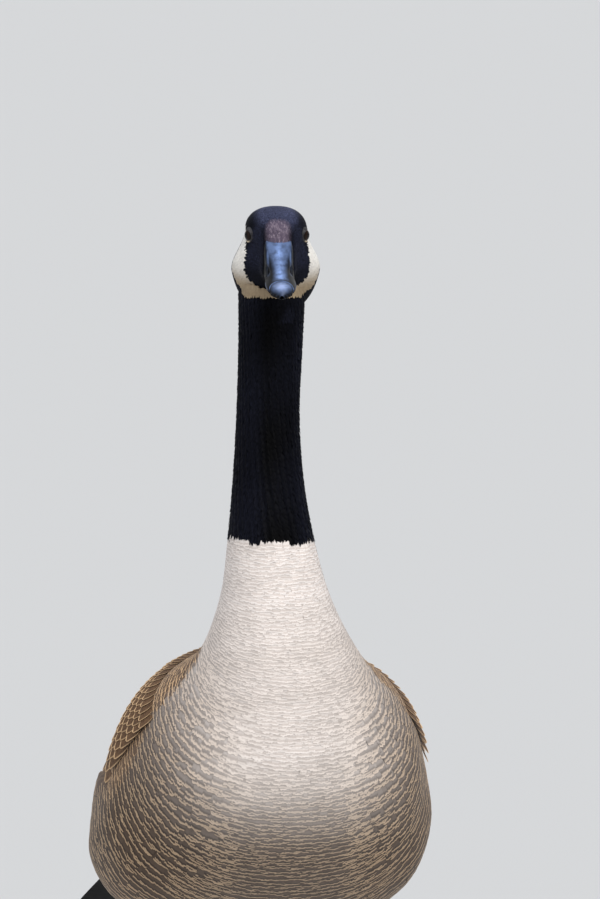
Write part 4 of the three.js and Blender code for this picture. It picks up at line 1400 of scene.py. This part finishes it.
def wing_piece(side, way, name, tier):
    """One tier of one wing."""
    values = dict(zip(TIER_KEYS.split(), tier))
    count = values["count"]
    share = np.linspace(0, 1, count)
    root = mix(values["from"], values["to"], share)
    middle = wing_low(root) + mix(values["low"], values["high"], share)
    length = mix(values["first"], values["last"], share) * (1 - 0.05 * random.random(count))
    lift = values["rise"] + np.arange(count) * values["stack"]
    looks, outline = (PRIMARY_LOOKS, ROUND_HALF) if name == "primaries" else (WING_LOOKS, VANE_HALF)
    points = vane_grid(root, middle, length, values["width"], outline, lift) * np.array([way, 1, 1])
    vane_piece(f"{name}_{side}", points, looks)


# The sheet under the vanes: rows and columns, how deep it lies, and how much earlier it ends near the back
BED_GRID = (60, 30)
BED_DEPTH = 1.2
BED_EARLIER = 0.8
BED_VANE = (0.5, 0.4, 0.0)


def wing_bed(side, way):
    """The brown sheet under the vanes, which stands for the wing's solid."""
    rows, columns = BED_GRID
    share, part = np.meshgrid(np.linspace(0, 1, rows), np.linspace(0, 1, columns), indexing="ij")
    t = mix(WING_FRONT, WING_REAR_END + BED_EARLIER * smooth(part, 0.5, 0.7), share)
    phi = mix(wing_low(t) + 1, WING_HIGH, part)
    points = inset(wing_point, t, phi, BED_DEPTH) * np.array([way, 1, 1])
    piece = new_mesh(f"wing_bed_{side}", points, grid_faces(1, rows, columns))
    store(piece, "vane", np.zeros_like(points) + np.array(BED_VANE))
    store_uv(piece, np.stack([part, (t - 3) / 5], -1))
    piece.data.materials.append(WING_LOOKS)
    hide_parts(f"wing_{side}")


def wings():
    for side, way in SIDES:
        wing_bed(side, way)
        for name, tier in TIERS.items():
            wing_piece(side, way, name, tier)


# Tail
TAIL_AXES = turned("X", -TAIL_DROP)
TAIL_START = np.array([0, BODY["y"][0], STAND + BODY["z"][0]])
TAIL_ROOT_WIDTH = BODY["side"][0] - 5
TAIL_WIDENING = 0.75
# Rows of coverts over and under the tail: how many, where they start and how long they are
COVERT_ROWS = ((15, 14, 72), (14, 2, 60), (15, -10, 52), (14, -21, 46), (15, -32, 42))
# Heights of the coverts above the tail's middle at distances along it
COVERT_ALONG = (-36, -24, 0, 40, 90)
COVERT_RISE = (14, 19, 21, 13, 7)
COVERT_SPREAD = 0.95
COVERT_WIDTH = 15
# The large tail feathers: how many, where they start, how wide they are and how far their tips rise
RECTRICES = (17, 20, 23, 6)


def tail_vanes(name, sides, start, length, width, rise, looks):
    """A fan of vanes from the right edge, -1, to the left, 1. Rise gives heights above the tail's middle."""
    f, s, bend = vane_places()
    side = column(sides)
    turn = np.radians(side * (TAIL_SPREAD + 2))
    reach = length * (1 - 0.1 * side**2) * (1 + 0.03 * random.uniform(-1, 1, side.shape))
    along = start + bend * reach
    across = s * width / 2 * TAIL_HALF[None, :, None]
    crown = np.sqrt(1 - 0.85 * side**2)
    height = rise(along) * crown - s * np.where(side < 0, -1, 1)
    droop = 0.0006 * (along * side) ** 2
    middle = side * (TAIL_ROOT_WIDTH + TAIL_WIDENING * max(-start, 0) * (1 - f))
    x = middle + np.sin(turn) * f * reach + np.cos(turn) * across
    flat = np.stack([x, along - np.sin(turn) * across, height - droop], -1)
    return vane_piece(name, flat @ TAIL_AXES.T + TAIL_START, looks)


def tail():
    count, start, width, tip = RECTRICES
    length = TAIL_LENGTH - start
    rise = lambda along: tip * (along - start) / length
    large = tail_vanes("rectrices", np.linspace(-1, 1, count), start, length, width, rise, TAIL_LOOKS)
    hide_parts("tail")
    for row, (number, root, long) in enumerate(COVERT_ROWS):
        sides = np.linspace(-COVERT_SPREAD, COVERT_SPREAD, number)
        for name, way in (("upper", 1), ("under", -1)):
            cover = lambda along: way * (np.interp(along, COVERT_ALONG, COVERT_RISE) + row)
            title = f"{name}_tail_coverts_{row}"
            tail_vanes(title, sides, root, long, COVERT_WIDTH, cover, WHITE_LOOKS)


# Camera: at the photograph's azimuth and elevation, with the eyes at their place in its frame
AZIMUTH = -10
ELEVATION = 4
DISTANCE = 6.0
METRES_PER_PIXEL = 0.00073
PICTURE = (600, 899)
EYE_PIXEL = (277, 235)
SENSOR = 36
FAR_CLIP = 100


def camera():
    turn, rise = math.radians(AZIMUTH), math.radians(ELEVATION)
    right = Vector((math.cos(turn), math.sin(turn), 0))
    back = Vector((math.sin(turn) * math.cos(rise), -math.cos(turn) * math.cos(rise), math.sin(rise)))
    up = back.cross(right)
    beside = (PICTURE[0] / 2 - EYE_PIXEL[0]) * METRES_PER_PIXEL
    below = (PICTURE[1] / 2 - EYE_PIXEL[1]) * METRES_PER_PIXEL
    aim = ROW_EYE + right * beside - up * below
    data = bpy.data.cameras.new("camera")
    data.sensor_width = SENSOR
    data.lens = SENSOR * DISTANCE / (METRES_PER_PIXEL * PICTURE[1])
    data.clip_end = FAR_CLIP
    made = bpy.data.objects.new("camera", data)
    axes = Matrix((right, up, back)).transposed().to_4x4()
    made.matrix_world = Matrix.Translation(aim + back * DISTANCE) @ axes
    bpy.context.scene.collection.objects.link(made)
    bpy.context.scene.camera = made


def light(name, place, strength, spread, color):
    """A very distant soft lamp in the direction of a place, spread over an angle in degrees."""
    data = bpy.data.lights.new(name, "SUN")
    data.energy = strength
    data.angle = math.radians(spread)
    data.color = color
    made = bpy.data.objects.new(name, data)
    made.location = place
    made.rotation_euler = Vector(place).to_track_quat("Z", "Y").to_euler()
    bpy.context.scene.collection.objects.link(made)


def floor_looks():
    """An even pale matt floor with a very fine grain."""
    material, net, shader = tree("floor")
    color = blended(net, linear(206, 206, 205), linear(212, 212, 211), grained(net, 400.0, 2.0))
    dressed(net, shader, color, 1.0, 0.0)
    return material


FLOOR_SIDES = 96
FLOOR_RINGS = (0.001, 1.0, 4.0, 16.0, 60.0)
SKY_COLOR = (0.9, 0.92, 0.96, 1)
SKY_STRENGTH = 0.5
# Lamps: direction, strength, spread in degrees and colour
LAMPS = {
    "key": ((0.9, -2.8, 2.6), 1.6, 35, (1, 0.98, 0.95)),
    "sky": ((-0.4, 0.1, 3.2), 0.75, 60, (0.84, 0.9, 1)),
    "fill": ((-3.2, -1.8, 1.4), 0.3, 60, (1, 1, 1)),
    "back": ((2.2, 3.2, 2.6), 0.2, 60, (1, 1, 1)),
}


def studio():
    """A pale floor, a soft sky and large soft lamps."""
    turns = np.radians(np.arange(FLOOR_SIDES) * 360 / FLOOR_SIDES)
    circle = np.stack([np.cos(turns), np.sin(turns), 0 * turns], -1)
    places = np.concatenate([reach * circle for reach in FLOOR_RINGS]).tolist()
    data = bpy.data.meshes.new("floor")
    data.from_pydata(places, [], ring_faces(len(FLOOR_RINGS), FLOOR_SIDES)[:, ::-1].tolist())
    floor = bpy.data.objects.new("floor", data)
    bpy.context.scene.collection.objects.link(floor)
    data.materials.append(floor_looks())
    world = bpy.data.worlds.new("sky")
    world.use_nodes = True
    sky = world.node_tree.nodes["Background"]
    sky.inputs["Color"].default_value = SKY_COLOR
    sky.inputs["Strength"].default_value = SKY_STRENGTH
    bpy.context.scene.world = world
    bpy.context.scene.view_settings.view_transform = "Standard"
    for name, lamp in LAMPS.items():
        light(name, *lamp)


camera()
studio()
skin()
neck_coats()
breast_coats()
brown_coats()
head_coats()
face()
wings()
tail()
legs()
claws()
